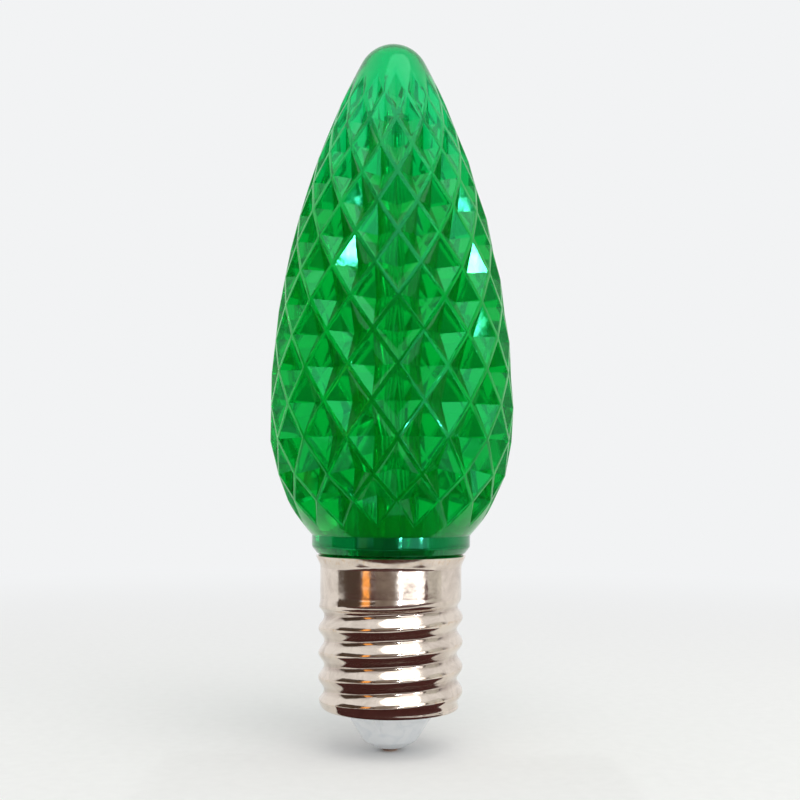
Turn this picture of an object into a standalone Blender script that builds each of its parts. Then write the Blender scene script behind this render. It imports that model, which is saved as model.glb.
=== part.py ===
"""A C9-size Christmas light bulb: a diamond-cut green lens glued into a screw shell.

The bulb's axis is Z, with the contact's flat face at the origin and the tip of the lens up.
A white plug insulates the contact from the shell and holds the board that carries the light diodes.
"""

import math

import bmesh
import bpy
from mathutils import Matrix, Vector

MM = 0.001

# Clearances
SEAT_GAP = 0.3 * MM
SOLDER_GAP = 0.2 * MM

# Screw shell, rolled from thin sheet with the standard thread of nine turns to the inch
SHELL_BOTTOM = 5.2 * MM
SHELL_HEIGHT = 17.2 * MM
SHELL_WALL = 0.35 * MM
THREAD_PITCH = 25.4 / 9 * MM
THREAD_CREST_RADIUS = 8.3 * MM
THREAD_DEPTH = 0.67 * MM
THREAD_CREST_ABOVE_BOTTOM = 7.8 * MM
THREAD_RUN_OUT = 1.7 * MM
BARREL_BELOW_CREST = 0.18 * MM
BARREL_LENGTH = 3.3 * MM
LIP_FLARE = 0.5 * MM
LIP_HEIGHT = 1.1 * MM
LIP_ROUND = 1.2 * MM
RIM_ROUND = 0.9 * MM

# Lens, outside
LENS_HEIGHT = 58.3 * MM
NECK_RADIUS = 9.1 * MM
NECK_HEIGHT = 2.07 * MM
NECK_CHAMFER_HEIGHT = 0.75 * MM
NECK_CHAMFER_DEPTH = 0.6 * MM
NECK_ROUND = 0.5 * MM
BELLY_ABOVE_SEAT = 14.6 * MM
BELLY_RADIUS = 14.0 * MM
TIP_RADIUS = 4.2 * MM

# Diamond pattern of the lens
DIAMONDS_ROUND = 16
PATTERN_ABOVE_SEAT = 3.15 * MM
PLAIN_EDGE = 0.5 * MM
PLAIN_TIP = 3.7 * MM
LOW_ROWS = 2
LOW_ROW_STEP = 2.86 * MM
ROW_STEP = 3.88 * MM
ROW_STEP_RATIO = 0.982
RIDGE_WIDTH = 0.46 * MM
FACET_SLOPE = math.radians(29)

# Lens, inside
SPIGOT_LENGTH = 5.7 * MM
SPIGOT_WALL = 2.6 * MM
BORE_CLEARANCE = 0.8 * MM
BORE_END_WALL = 9.0 * MM

# Centre contact, a rivet whose head sits in a recess of the cone's blunt end
CONTACT_FLAT_RADIUS = 0.8 * MM
CONTACT_HEAD_RADIUS = 1.0 * MM
CONTACT_HEAD_HEIGHT = 0.5 * MM
CONTACT_SHANK_RADIUS = 0.6 * MM
CONTACT_TAIL_RADIUS = 1.0 * MM
CONTACT_TAIL_HEIGHT = 0.5 * MM
CONTACT_TAIL_CLEARANCE = 0.6 * MM

# Base plug
CONE_BOTTOM = 0.4 * MM
CONE_TIP_RADIUS = 1.65 * MM
CONE_TIP_HEIGHT = 0.43 * MM
CONE_EDGE_RADIUS = 3.1 * MM
CONE_EDGE_HEIGHT = 1.25 * MM
CONE_TOP_RADIUS = 5.35 * MM
CONE_EDGE_ROUND = 0.4 * MM
PLUG_SHOULDER_ROUND = 0.5 * MM
PLUG_FLOOR_THICKNESS = 0.95 * MM
PLUG_WALL = 1.55 * MM
SLOT_DEPTH = 0.6 * MM
SEAM_ANGLE = math.radians(-104.5)
SEAM_LEAN = math.radians(7)
SEAM_WIDTH = 1.2 * MM
SEAM_DEPTH = 0.5 * MM
SEAM_ABOVE_EDGE = 0.25 * MM

# Circuit board, a narrow strip with a wide foot, turned edge-on to the front
BOARD_TURN = math.radians(90)
BOARD_THICKNESS = 1.6 * MM
BOARD_STRIP_WIDTH = 3.6 * MM
BOARD_BELOW_BORE_END = 4.0 * MM
BOARD_CORNER = 0.4 * MM

# Light diodes, in pairs back to back
DIODE_PAIRS = 3
DIODE_WIDTH = 2.8 * MM
DIODE_LENGTH = 3.5 * MM
DIODE_HEIGHT = 0.7 * MM
DIODE_FRAME = 0.35 * MM
DIODE_WELL = 0.15 * MM
DIODE_BELOW_BOARD_TOP = 5.0 * MM
DIODE_PITCH = 14.0 * MM

# Parts on the board's foot
RECTIFIER_WIDTH = 4.7 * MM
RECTIFIER_LENGTH = 3.9 * MM
RECTIFIER_HEIGHT = 1.6 * MM
RECTIFIER_LEG = 1.1 * MM
RECTIFIER_LEG_WIDTH = 0.7 * MM
RECTIFIER_LEG_THICKNESS = 0.3 * MM
RECTIFIER_LEG_SPACING = 2.5 * MM
RESISTOR_LENGTH = 3.2 * MM
RESISTOR_WIDTH = 1.4 * MM
RESISTOR_HEIGHT = 0.55 * MM
RESISTOR_CAP = 0.5 * MM
RESISTOR_CAP_STEP = 0.1 * MM
CAPACITOR_END_GAP = 1.1 * MM
CAPACITOR_ROUND = 0.3 * MM
CAPACITOR_BEAD_HEIGHT = 0.6 * MM
CAPACITOR_BEAD_DEPTH = 0.15 * MM

# Wires
WIRE_RADIUS = 0.25 * MM
CENTRE_WIRE_LAP = 1.4 * MM
SIDE_WIRE_LAP = 3.2 * MM
SIDE_WIRE_INSET = 1.9 * MM
SIDE_WIRE_ANGLE = math.radians(32)
WIRE_NOTCH_DEPTH = 1.5 * MM

# Fineness of the round surfaces
SHELL_SEGMENTS = 32
SHELL_ROWS_PER_PITCH = 7
PLUG_SEGMENTS = 32
SMALL_SEGMENTS = 16
FILLET_STEPS = 3
TIP_STEPS = 5
SHARP_ANGLE = math.radians(24)

# Heights that follow from the sizes above
SHELL_TOP = SHELL_BOTTOM + SHELL_HEIGHT
THREAD_TOP = SHELL_TOP - LIP_HEIGHT - BARREL_LENGTH
RECESS_ROOF = CONTACT_HEAD_HEIGHT + SOLDER_GAP
PLUG_SHOULDER = SHELL_BOTTOM + SHELL_WALL + SEAT_GAP
PLUG_FLOOR = PLUG_SHOULDER + PLUG_FLOOR_THICKNESS
TAIL_BOTTOM = PLUG_FLOOR + SEAT_GAP
TAIL_TOP = TAIL_BOTTOM + CONTACT_TAIL_HEIGHT
LENS_SEAT = SHELL_TOP + SEAT_GAP
LENS_TOP = LENS_SEAT + LENS_HEIGHT
NECK_TOP = LENS_SEAT + NECK_HEIGHT
BELLY_HEIGHT = LENS_SEAT + BELLY_ABOVE_SEAT
SPIGOT_BOTTOM = LENS_SEAT - SPIGOT_LENGTH
BORE_TOP = LENS_TOP - BORE_END_WALL
PLUG_TOP = SPIGOT_BOTTOM - SEAT_GAP
SLOT_FLOOR = TAIL_TOP + CONTACT_TAIL_CLEARANCE
BOARD_BOTTOM = SLOT_FLOOR + SEAT_GAP
BOARD_TOP = BORE_TOP - BOARD_BELOW_BORE_END
BOARD_FOOT_TOP = PLUG_TOP - SEAT_GAP
FOOT_MIDDLE = (BOARD_BOTTOM + BOARD_FOOT_TOP) / 2

# Widths and radii that follow from the sizes above
THREAD_MEAN_RADIUS = THREAD_CREST_RADIUS - THREAD_DEPTH / 2
BARREL_RADIUS = THREAD_CREST_RADIUS - BARREL_BELOW_CREST
LIP_RADIUS = BARREL_RADIUS + LIP_FLARE
SHELL_INSIDE_RADIUS = THREAD_CREST_RADIUS - THREAD_DEPTH - SHELL_WALL
SHELL_HOLE_RADIUS = CONE_TOP_RADIUS + SEAT_GAP
PLUG_RADIUS = SHELL_INSIDE_RADIUS - SEAT_GAP
CAVITY_RADIUS = PLUG_RADIUS - PLUG_WALL
CONTACT_HOLE_RADIUS = CONTACT_SHANK_RADIUS + SEAT_GAP
RECESS_RADIUS = CONTACT_HEAD_RADIUS + SOLDER_GAP
SLOT_RADIUS = CAVITY_RADIUS + SLOT_DEPTH
FOOT_HALF_WIDTH = SLOT_RADIUS - SEAT_GAP
BOARD_FACE = BOARD_THICKNESS / 2
SOLDERED_FACE = BOARD_FACE + SOLDER_GAP
DIODE_REACH = math.hypot(DIODE_WIDTH / 2, SOLDERED_FACE + DIODE_HEIGHT)
STRIP_REACH = math.hypot(BOARD_STRIP_WIDTH / 2, BOARD_FACE)
SPIGOT_RADIUS = PLUG_RADIUS
BORE_MOUTH_RADIUS = SPIGOT_RADIUS - SPIGOT_WALL
BORE_END_RADIUS = max(DIODE_REACH, STRIP_REACH) + BORE_CLEARANCE
CAPACITOR_RADIUS = (CAVITY_RADIUS - SEAT_GAP - SOLDERED_FACE) / 2
CAPACITOR_BOTTOM = BOARD_BOTTOM + CENTRE_WIRE_LAP + CAPACITOR_END_GAP
CAPACITOR_TOP = BOARD_FOOT_TOP - CAPACITOR_END_GAP

# The lens swells in an arc from its neck to its belly and closes in another to its rounded tip
NECK_TO_BELLY = BELLY_HEIGHT - NECK_TOP
BELLY_STEP = BELLY_RADIUS - NECK_RADIUS
LOWER_ARC = (BELLY_STEP**2 + NECK_TO_BELLY**2) / (2 * BELLY_STEP)
BELLY_TO_TIP = LENS_TOP - BELLY_HEIGHT
UPPER_ARC = (BELLY_RADIUS**2 + BELLY_TO_TIP**2 - 2 * BELLY_TO_TIP * TIP_RADIUS) / (
    2 * (BELLY_RADIUS - TIP_RADIUS)
)


def clear_scene():
    for old in list(bpy.data.objects):
        bpy.data.objects.remove(old, do_unlink=True)


def linear(colour):
    """The linear red, green and blue of a colour written as six hexadecimal digits."""
    shares = [int(colour[i : i + 2], 16) / 255 for i in (0, 2, 4)]
    return [
        share / 12.92 if share <= 0.04045 else ((share + 0.055) / 1.055) ** 2.4
        for share in shares
    ]


def material(name, colour, roughness, metallic=0.0, clear=0.0):
    made = bpy.data.materials.new(name)
    made.use_nodes = True
    shader = made.node_tree.nodes["Principled BSDF"]
    shader.inputs["Base Color"].default_value = (*linear(colour), 1)
    shader.inputs["Roughness"].default_value = roughness
    shader.inputs["Metallic"].default_value = metallic
    shader.inputs["Transmission Weight"].default_value = clear
    return made


def board_frame():
    """An empty that carries the board, what is on it and what is cut for it."""
    frame = bpy.data.objects.new("board_frame", None)
    frame.rotation_euler.z = BOARD_TURN
    bpy.context.scene.collection.objects.link(frame)
    return frame


def finished(name, bm, surface):
    """Turns a closed mesh's faces outward and makes it a named, smooth-shaded object."""
    bmesh.ops.recalc_face_normals(bm, faces=bm.faces)
    mesh = bpy.data.meshes.new(name)
    bm.to_mesh(mesh)
    bm.free()
    mesh.shade_smooth()
    mesh.set_sharp_from_angle(angle=SHARP_ANGLE)
    mesh.materials.append(surface)
    piece = bpy.data.objects.new(name, mesh)
    bpy.context.scene.collection.objects.link(piece)
    return piece


def cutter(name, bm):
    """A tool for a Boolean, which isn't part of the bulb."""
    bmesh.ops.recalc_face_normals(bm, faces=bm.faces)
    mesh = bpy.data.meshes.new(name)
    bm.to_mesh(mesh)
    bm.free()
    tool = bpy.data.objects.new(name, mesh)
    tool.hide_render = True
    tool.display_type = "WIRE"
    bpy.context.scene.collection.objects.link(tool)
    return tool


def boolean(piece, operation, tool):
    modifier = piece.modifiers.new(tool.name, "BOOLEAN")
    modifier.operation = operation
    modifier.solver = "EXACT"
    modifier.object = tool


def box(bm, size, centre, turn=None):
    """Adds a box of a given size, turned about its own centre where a turn is given."""
    place = Matrix.Translation(centre) @ (turn or Matrix.Identity(4))
    bmesh.ops.create_cube(bm, size=1, matrix=place @ Matrix.Diagonal((*size, 1)))


def extruded(outline, thickness):
    """A plate from an outline of (x, z) points, centred on the plane of X and Z."""
    bm = bmesh.new()
    front = bm.faces.new([bm.verts.new((x, -thickness / 2, z)) for x, z in outline])
    grown = bmesh.ops.extrude_face_region(bm, geom=[front])["geom"]
    back = [item for item in grown if isinstance(item, bmesh.types.BMVert)]
    bmesh.ops.translate(bm, vec=(0, thickness, 0), verts=back)
    return bm


def on_ring(radius, angle, height):
    return Vector((radius * math.cos(angle), radius * math.sin(angle), height))


def filleted(corners, steps=FILLET_STEPS):
    """Rounds the corners of an outline given as (radius, height, fillet), with an arc at each fillet."""
    outline = []
    for i, (radius, height, fillet) in enumerate(corners):
        corner = Vector((radius, height))
        if not fillet:
            outline.append(corner)
            continue
        back = Vector(corners[i - 1][:2]) - corner
        ahead = Vector(corners[(i + 1) % len(corners)][:2]) - corner
        half = back.angle(ahead) / 2
        longest = min(back.length, ahead.length) * 0.49 * math.tan(half)
        fillet = min(fillet, longest)
        middle = corner + (back.normalized() + ahead.normalized()).normalized() * fillet / math.sin(half)
        start = corner + back.normalized() * fillet / math.tan(half) - middle
        end = corner + ahead.normalized() * fillet / math.tan(half) - middle
        sweep = start.angle_signed(end)
        for step in range(steps + 1):
            turned_arm = start.copy()
            turned_arm.rotate(Matrix.Rotation(-sweep * step / steps, 2))
            outline.append(middle + turned_arm)
    return [(point.x, point.y) for point in outline]


def turned(outline, segments, loop=False):
    """A surface turned round the Z axis from an outline of (radius, height) points."""
    bm = bmesh.new()
    chain = [bm.verts.new((radius, 0, height)) for radius, height in outline]
    edges = [bm.edges.new(pair) for pair in zip(chain, chain[1:])]
    if loop:
        edges.append(bm.edges.new((chain[-1], chain[0])))
    bmesh.ops.spin(
        bm,
        geom=chain + edges,
        axis=(0, 0, 1),
        angle=math.tau,
        steps=segments,
        use_merge=True,
    )
    bmesh.ops.remove_doubles(bm, verts=bm.verts, dist=0.001 * MM)
    return bm


def carried_on(bm, rim, outline):
    """Extrudes a round rim of edges through the (radius, height) points of an outline."""
    for radius, height in outline:
        grown = bmesh.ops.extrude_edge_only(bm, edges=rim)["geom"]
        rim = [item for item in grown if isinstance(item, bmesh.types.BMEdge)]
        for vert in (item for item in grown if isinstance(item, bmesh.types.BMVert)):
            vert.co = on_ring(radius, math.atan2(vert.co.y, vert.co.x), height)
    return rim


def closed_dome(bm, rim, centre_height, radius, first_angle):
    """Closes a rim with a dome of a given radius, from an angle above its level up to its pole."""
    angles = [first_angle + (math.pi / 2 - first_angle) * step / TIP_STEPS for step in range(TIP_STEPS)]
    outline = [(radius * math.cos(a), centre_height + radius * math.sin(a)) for a in angles]
    rim = carried_on(bm, rim, outline)
    cap = bmesh.ops.contextual_create(bm, geom=rim)["faces"]
    pole = bmesh.ops.poke(bm, faces=cap)["verts"][0]
    pole.co = Vector((0, 0, centre_height + radius))


def lens_radius(height):
    """The radius of the smooth form that the diamonds are cut into."""
    arc = LOWER_ARC if height < BELLY_HEIGHT else UPPER_ARC
    return BELLY_RADIUS - arc + math.sqrt(arc**2 - (height - BELLY_HEIGHT) ** 2)


def lens_rows():
    """The heights of the rows of crossing points, which close up slowly towards the tip."""
    rows = [LENS_SEAT + PATTERN_ABOVE_SEAT + LOW_ROW_STEP * i for i in range(LOW_ROWS + 1)]
    step = ROW_STEP
    while rows[-1] + step < LENS_TOP - PLAIN_TIP:
        rows.append(rows[-1] + step)
        step *= ROW_STEP_RATIO
    return rows


def diamond_lattice(bm, rows):
    """Lays diamonds between the rows, each row half a diamond round from the next."""
    half_turn = math.pi / DIAMONDS_ROUND
    crossings = []
    for index, height in enumerate(rows):
        first = half_turn * ((index + 1) % 2)
        angles = [first + 2 * half_turn * i for i in range(DIAMONDS_ROUND)]
        crossings.append([bm.verts.new(on_ring(lens_radius(height), a, height)) for a in angles])
    diamonds = []
    for index in range(1, len(rows) - 1):
        # The corner above or below a diamond of an even row has the number of its right corner
        shift = index % 2 == 0
        for i in range(DIAMONDS_ROUND):
            right = (i + 1) % DIAMONDS_ROUND
            across = right if shift else i
            left_vert, right_vert = crossings[index][i], crossings[index][right]
            low, high = crossings[index - 1][across], crossings[index + 1][across]
            diamonds.append(bm.faces.new((left_vert, low, right_vert, high)))
    return crossings, diamonds


def joined_to_plain(bm, outer_row, inner_row, outer_first, height):
    """Joins the zigzag edge of the lattice to a plain ring of points, and gives that ring's edges."""
    half_turn = math.pi / DIAMONDS_ROUND
    zigzag = []
    for i in range(DIAMONDS_ROUND):
        pair = (outer_row[i], inner_row[i]) if outer_first else (inner_row[i], outer_row[i])
        zigzag.extend(pair)
    ring = [bm.verts.new(on_ring(lens_radius(height), half_turn * i, height)) for i in range(len(zigzag))]
    for i, vert in enumerate(zigzag):
        after = (i + 1) % len(zigzag)
        bm.faces.new((ring[i], ring[after], zigzag[after], vert))
    return [bm.edges.get((ring[i - 1], ring[i])) for i in range(len(ring))]


def cut_diamonds(bm, diamonds):
    """Leaves a flat ridge round each diamond and sinks its middle, so that four facets meet in it."""
    bmesh.ops.inset_individual(bm, faces=diamonds, thickness=RIDGE_WIDTH / 2, use_even_offset=True)
    for face in diamonds:
        middle = face.calc_center_median()
        outward = face.normal.copy()
        half_width = math.pi * lens_radius(middle.z) / DIAMONDS_ROUND
        apex = bmesh.ops.poke(bm, faces=[face])["verts"][0]
        apex.co = middle - outward * half_width * math.tan(FACET_SLOPE)


def lens():
    """One moulding: cut outside, with a glossy neck, a spigot for the shell and a tapered bore."""
    bm = bmesh.new()
    rows = lens_rows()
    crossings, diamonds = diamond_lattice(bm, rows)
    bm.normal_update()
    # Odd rows have a crossing at angle zero, and even rows lie half a diamond further round
    low_rim = joined_to_plain(bm, crossings[0], crossings[1], False, rows[0] - PLAIN_EDGE)
    top_is_odd = (len(rows) - 1) % 2 == 1
    high_rim = joined_to_plain(bm, crossings[-1], crossings[-2], top_is_odd, rows[-1] + PLAIN_EDGE)
    cut_diamonds(bm, diamonds)

    tip_centre = LENS_TOP - TIP_RADIUS
    tip_angle = math.atan2(tip_centre - BELLY_HEIGHT, UPPER_ARC - BELLY_RADIUS)
    closed_dome(bm, high_rim, tip_centre, TIP_RADIUS, tip_angle)

    neck_and_spigot = filleted(
        [
            (NECK_RADIUS, NECK_TOP, 0),
            (NECK_RADIUS, LENS_SEAT + NECK_CHAMFER_HEIGHT, NECK_ROUND),
            (NECK_RADIUS - NECK_CHAMFER_DEPTH, LENS_SEAT, 0),
            (SPIGOT_RADIUS, LENS_SEAT, 0),
            (SPIGOT_RADIUS, SPIGOT_BOTTOM, 0),
            (BORE_MOUTH_RADIUS, SPIGOT_BOTTOM, 0),
        ]
    )
    bore_rim = carried_on(bm, low_rim, neck_and_spigot)
    closed_dome(bm, bore_rim, BORE_TOP - BORE_END_RADIUS, BORE_END_RADIUS, 0)
    green = material("green_polycarbonate", "00963a", 0.12, clear=0.6)
    return finished("lens", bm, green)


def shell_outline():
    """The shell before its thread is rolled, from the lip down and in under the plug."""
    top = filleted(
        [
            (LIP_RADIUS, SHELL_TOP, 0),
            (BARREL_RADIUS, SHELL_TOP - LIP_HEIGHT, LIP_ROUND),
            (BARREL_RADIUS, THREAD_TOP, 0),
        ]
    )
    rim_top = SHELL_BOTTOM + RIM_ROUND
    rows = round((THREAD_TOP - rim_top) / THREAD_PITCH * SHELL_ROWS_PER_PITCH)
    step = (THREAD_TOP - rim_top) / rows
    threaded = [(THREAD_MEAN_RADIUS, THREAD_TOP - step * row) for row in range(1, rows)]
    bottom = filleted(
        [
            threaded[-1] + (0,),
            (THREAD_MEAN_RADIUS, SHELL_BOTTOM, RIM_ROUND),
            (SHELL_HOLE_RADIUS, SHELL_BOTTOM, 0),
        ]
    )
    return top + threaded[:-1] + bottom


def smooth_share(value):
    """A share that leaves 0 and reaches 1 without a kink."""
    value = min(max(value, 0), 1)
    return value * value * (3 - 2 * value)


def roll_thread(bm):
    """Moves the shell's wall in and out along a right-hand helix that fades into the barrel and the rim."""
    for vert in bm.verts:
        height = vert.co.z
        if height >= THREAD_TOP:
            continue
        angle = math.atan2(vert.co.y, vert.co.x)
        above_crest = height - SHELL_BOTTOM - THREAD_CREST_ABOVE_BOTTOM
        swing = THREAD_DEPTH / 2 * math.cos(math.tau * above_crest / THREAD_PITCH - angle)
        below_barrel = smooth_share((THREAD_TOP - height) / THREAD_RUN_OUT)
        above_rim = smooth_share((height - SHELL_BOTTOM) / RIM_ROUND)
        widening = (BARREL_RADIUS - THREAD_MEAN_RADIUS) * (1 - below_barrel)
        radius = vert.co.xy.length + widening + swing * below_barrel * above_rim
        vert.co = on_ring(radius, angle, height)


def screw_shell():
    """Thin sheet metal of one even thickness, threaded by rolling and turned in at the bottom."""
    bm = turned(shell_outline(), SHELL_SEGMENTS)
    roll_thread(bm)
    nickel = material("nickel_plated_brass", "cfc4b6", 0.18, metallic=1.0)
    shell = finished("screw_shell", bm, nickel)
    wall = shell.modifiers.new("wall", "SOLIDIFY")
    wall.thickness = SHELL_WALL
    wall.offset = -1
    wall.use_even_offset = True
    return shell


def cone_radius(height):
    """The radius of the cone's straight flank."""
    rise = (height - CONE_EDGE_HEIGHT) / (SHELL_BOTTOM - CONE_EDGE_HEIGHT)
    return CONE_EDGE_RADIUS + (CONE_TOP_RADIUS - CONE_EDGE_RADIUS) * rise


def seam_cutter():
    """A slim wedge for the V-shaped seam, widest at the shell and narrowing to a point down the cone."""
    low = CONE_EDGE_HEIGHT + SEAM_ABOVE_EDGE
    outside = cone_radius(SHELL_BOTTOM) + SEAM_DEPTH
    bm = bmesh.new()
    corners = [
        Vector((outside, -SEAM_WIDTH, SHELL_BOTTOM)),
        Vector((outside, SEAM_WIDTH, SHELL_BOTTOM)),
        Vector((cone_radius(SHELL_BOTTOM) - SEAM_DEPTH, 0, SHELL_BOTTOM)),
        Vector((cone_radius(low) + SEAM_DEPTH / 4, 0, low)),
    ]
    bmesh.ops.convex_hull(bm, input=[bm.verts.new(corner) for corner in corners])
    point = Matrix.Translation(corners[-1])
    lean = point @ Matrix.Rotation(SEAM_LEAN, 4, "X") @ point.inverted()
    bmesh.ops.transform(bm, matrix=Matrix.Rotation(SEAM_ANGLE, 4, "Z") @ lean, verts=bm.verts)
    return cutter("seam_cutter", bm)


def slot_cutter(frame):
    """The slot across the plug's cavity that the board's foot slides down into."""
    bm = bmesh.new()
    height = 2 * (PLUG_TOP - SLOT_FLOOR)
    size = (2 * SLOT_RADIUS, BOARD_THICKNESS + 2 * SEAT_GAP, height)
    box(bm, size, (0, 0, SLOT_FLOOR + height / 2))
    tool = cutter("slot_cutter", bm)
    tool.parent = frame
    return tool


def wire_notch_cutter(frame):
    """The notch in the plug's rim that lets the side wire out to the shell."""
    bm = bmesh.new()
    length = 2 * PLUG_WALL + SEAT_GAP
    width = 2 * (WIRE_RADIUS + SEAT_GAP)
    reach = PLUG_RADIUS - PLUG_WALL / 2
    centre = on_ring(reach, SIDE_WIRE_ANGLE, PLUG_TOP)
    turn = Matrix.Rotation(SIDE_WIRE_ANGLE, 4, "Z")
    box(bm, (length, width, 2 * WIRE_NOTCH_DEPTH), centre, turn)
    tool = cutter("wire_notch_cutter", bm)
    tool.parent = frame
    return tool


def base_plug(frame):
    """White plastic: a blunt cone below the shell and a cup inside it."""
    outline = filleted(
        [
            (CONTACT_HOLE_RADIUS, RECESS_ROOF, 0),
            (RECESS_RADIUS, RECESS_ROOF, 0),
            (RECESS_RADIUS, CONE_BOTTOM, 0),
            (CONE_TIP_RADIUS, CONE_TIP_HEIGHT, CONE_EDGE_ROUND),
            (CONE_EDGE_RADIUS, CONE_EDGE_HEIGHT, CONE_EDGE_ROUND),
            (CONE_TOP_RADIUS, SHELL_BOTTOM, 0),
            (CONE_TOP_RADIUS, PLUG_SHOULDER, 0),
            (PLUG_RADIUS, PLUG_SHOULDER, PLUG_SHOULDER_ROUND),
            (PLUG_RADIUS, PLUG_TOP, 0),
            (CAVITY_RADIUS, PLUG_TOP, 0),
            (CAVITY_RADIUS, PLUG_FLOOR, 0),
            (CONTACT_HOLE_RADIUS, PLUG_FLOOR, 0),
        ]
    )
    bm = turned(outline, PLUG_SEGMENTS, loop=True)
    white = material("white_plastic", "dde1e4", 0.4)
    plug = finished("base_plug", bm, white)
    for tool in (seam_cutter(), slot_cutter(frame), wire_notch_cutter(frame)):
        boolean(plug, "DIFFERENCE", tool)
    return plug


def centre_contact():
    """A rivet: a low domed head with a flat face, a shank up through the plug and a tail in its cup."""
    outline = filleted(
        [
            (0, 0, 0),
            (CONTACT_FLAT_RADIUS, 0, 0),
            (CONTACT_HEAD_RADIUS, CONTACT_HEAD_HEIGHT / 2, CONTACT_HEAD_HEIGHT),
            (CONTACT_HEAD_RADIUS, CONTACT_HEAD_HEIGHT, 0),
            (CONTACT_SHANK_RADIUS, CONTACT_HEAD_HEIGHT, 0),
            (CONTACT_SHANK_RADIUS, TAIL_BOTTOM, 0),
            (CONTACT_TAIL_RADIUS, TAIL_BOTTOM, 0),
            (CONTACT_TAIL_RADIUS, TAIL_TOP, CONTACT_TAIL_HEIGHT / 2),
            (0, TAIL_TOP, 0),
        ]
    )
    copper = material("plated_copper", "d9b5a6", 0.3, metallic=1.0)
    return finished("centre_contact", turned(outline, SMALL_SEGMENTS), copper)


def led_board():
    """A glass-fibre board: the foot stands in the plug's slot, and the strip rises up the lens's bore."""
    strip = BOARD_STRIP_WIDTH / 2
    half = [
        (FOOT_HALF_WIDTH, BOARD_BOTTOM),
        (FOOT_HALF_WIDTH, BOARD_FOOT_TOP - BOARD_CORNER),
        (FOOT_HALF_WIDTH - BOARD_CORNER, BOARD_FOOT_TOP),
        (strip, BOARD_FOOT_TOP),
        (strip, BOARD_TOP - BOARD_CORNER),
        (strip - BOARD_CORNER, BOARD_TOP),
    ]
    outline = half + [(-x, z) for x, z in reversed(half)]
    fibre = material("board_fibreglass", "c9d8c4", 0.5)
    return finished("led_board", extruded(outline, BOARD_THICKNESS), fibre)


def diode_mesh(surface):
    """A flat package lying on its back, with a shallow well where the light comes out."""
    bm = bmesh.new()
    box(bm, (DIODE_WIDTH, DIODE_LENGTH, DIODE_HEIGHT), (0, 0, DIODE_HEIGHT / 2))
    bm.faces.ensure_lookup_table()
    window = max(bm.faces, key=lambda face: face.calc_center_median().z)
    bmesh.ops.inset_region(bm, faces=[window], thickness=DIODE_FRAME)
    bmesh.ops.inset_region(bm, faces=[window], thickness=DIODE_WELL, depth=-DIODE_WELL)
    bmesh.ops.recalc_face_normals(bm, faces=bm.faces)
    mesh = bpy.data.meshes.new("diode")
    bm.to_mesh(mesh)
    bm.free()
    mesh.materials.append(surface)
    return mesh


def light_diodes():
    """Pairs of diodes, back to back on the strip, each its own object."""
    diodes = []
    mesh = diode_mesh(material("diode_package", "e8ecd8", 0.35))
    number = 0
    for pair in range(DIODE_PAIRS):
        height = BOARD_TOP - DIODE_BELOW_BOARD_TOP - DIODE_PITCH * pair
        for side in (-1, 1):
            number += 1
            diode = bpy.data.objects.new(f"led_{number}", mesh)
            diode.location = (0, side * SOLDERED_FACE, height)
            diode.rotation_euler = (-side * math.pi / 2, 0, 0)
            bpy.context.scene.collection.objects.link(diode)
            diodes.append(diode)
    return diodes


def bridge_rectifier():
    """A black block on the front of the foot, with two legs up and two legs down."""
    black = material("black_epoxy", "1c1c1e", 0.45)
    bm = bmesh.new()
    size = (RECTIFIER_WIDTH, RECTIFIER_HEIGHT, RECTIFIER_LENGTH)
    box(bm, size, (0, -SOLDERED_FACE - RECTIFIER_HEIGHT / 2, FOOT_MIDDLE))
    block = finished("bridge_rectifier", bm, black)
    legs = bmesh.new()
    leg_size = (RECTIFIER_LEG_WIDTH, RECTIFIER_LEG_THICKNESS, RECTIFIER_LENGTH + 2 * RECTIFIER_LEG)
    for side in (-1, 1):
        x = side * RECTIFIER_LEG_SPACING / 2
        box(legs, leg_size, (x, -SOLDERED_FACE - RECTIFIER_LEG_THICKNESS, FOOT_MIDDLE))
    leg_tool = cutter("rectifier_legs", legs)
    leg_tool.parent = block
    boolean(block, "UNION", leg_tool)
    return block


def resistor(name, x):
    """A chip on the front of the foot, slightly thicker in the metal caps at its ends."""
    cap = RESISTOR_LENGTH / 2 - RESISTOR_CAP
    sunk = RESISTOR_HEIGHT - RESISTOR_CAP_STEP
    end = RESISTOR_LENGTH / 2
    half = [(0, end), (RESISTOR_HEIGHT, end), (RESISTOR_HEIGHT, cap), (sunk, cap)]
    outline = half + [(height, -along) for height, along in reversed(half)]
    bm = extruded(outline, RESISTOR_WIDTH)
    stand = Matrix.Translation((x, -SOLDERED_FACE, FOOT_MIDDLE)) @ Matrix.Rotation(-math.pi / 2, 4, "Z")
    bmesh.ops.transform(bm, matrix=stand, verts=bm.verts)
    ceramic = material(name + "_ceramic", "2b2a2c", 0.4)
    return finished(name, bm, ceramic)


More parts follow.
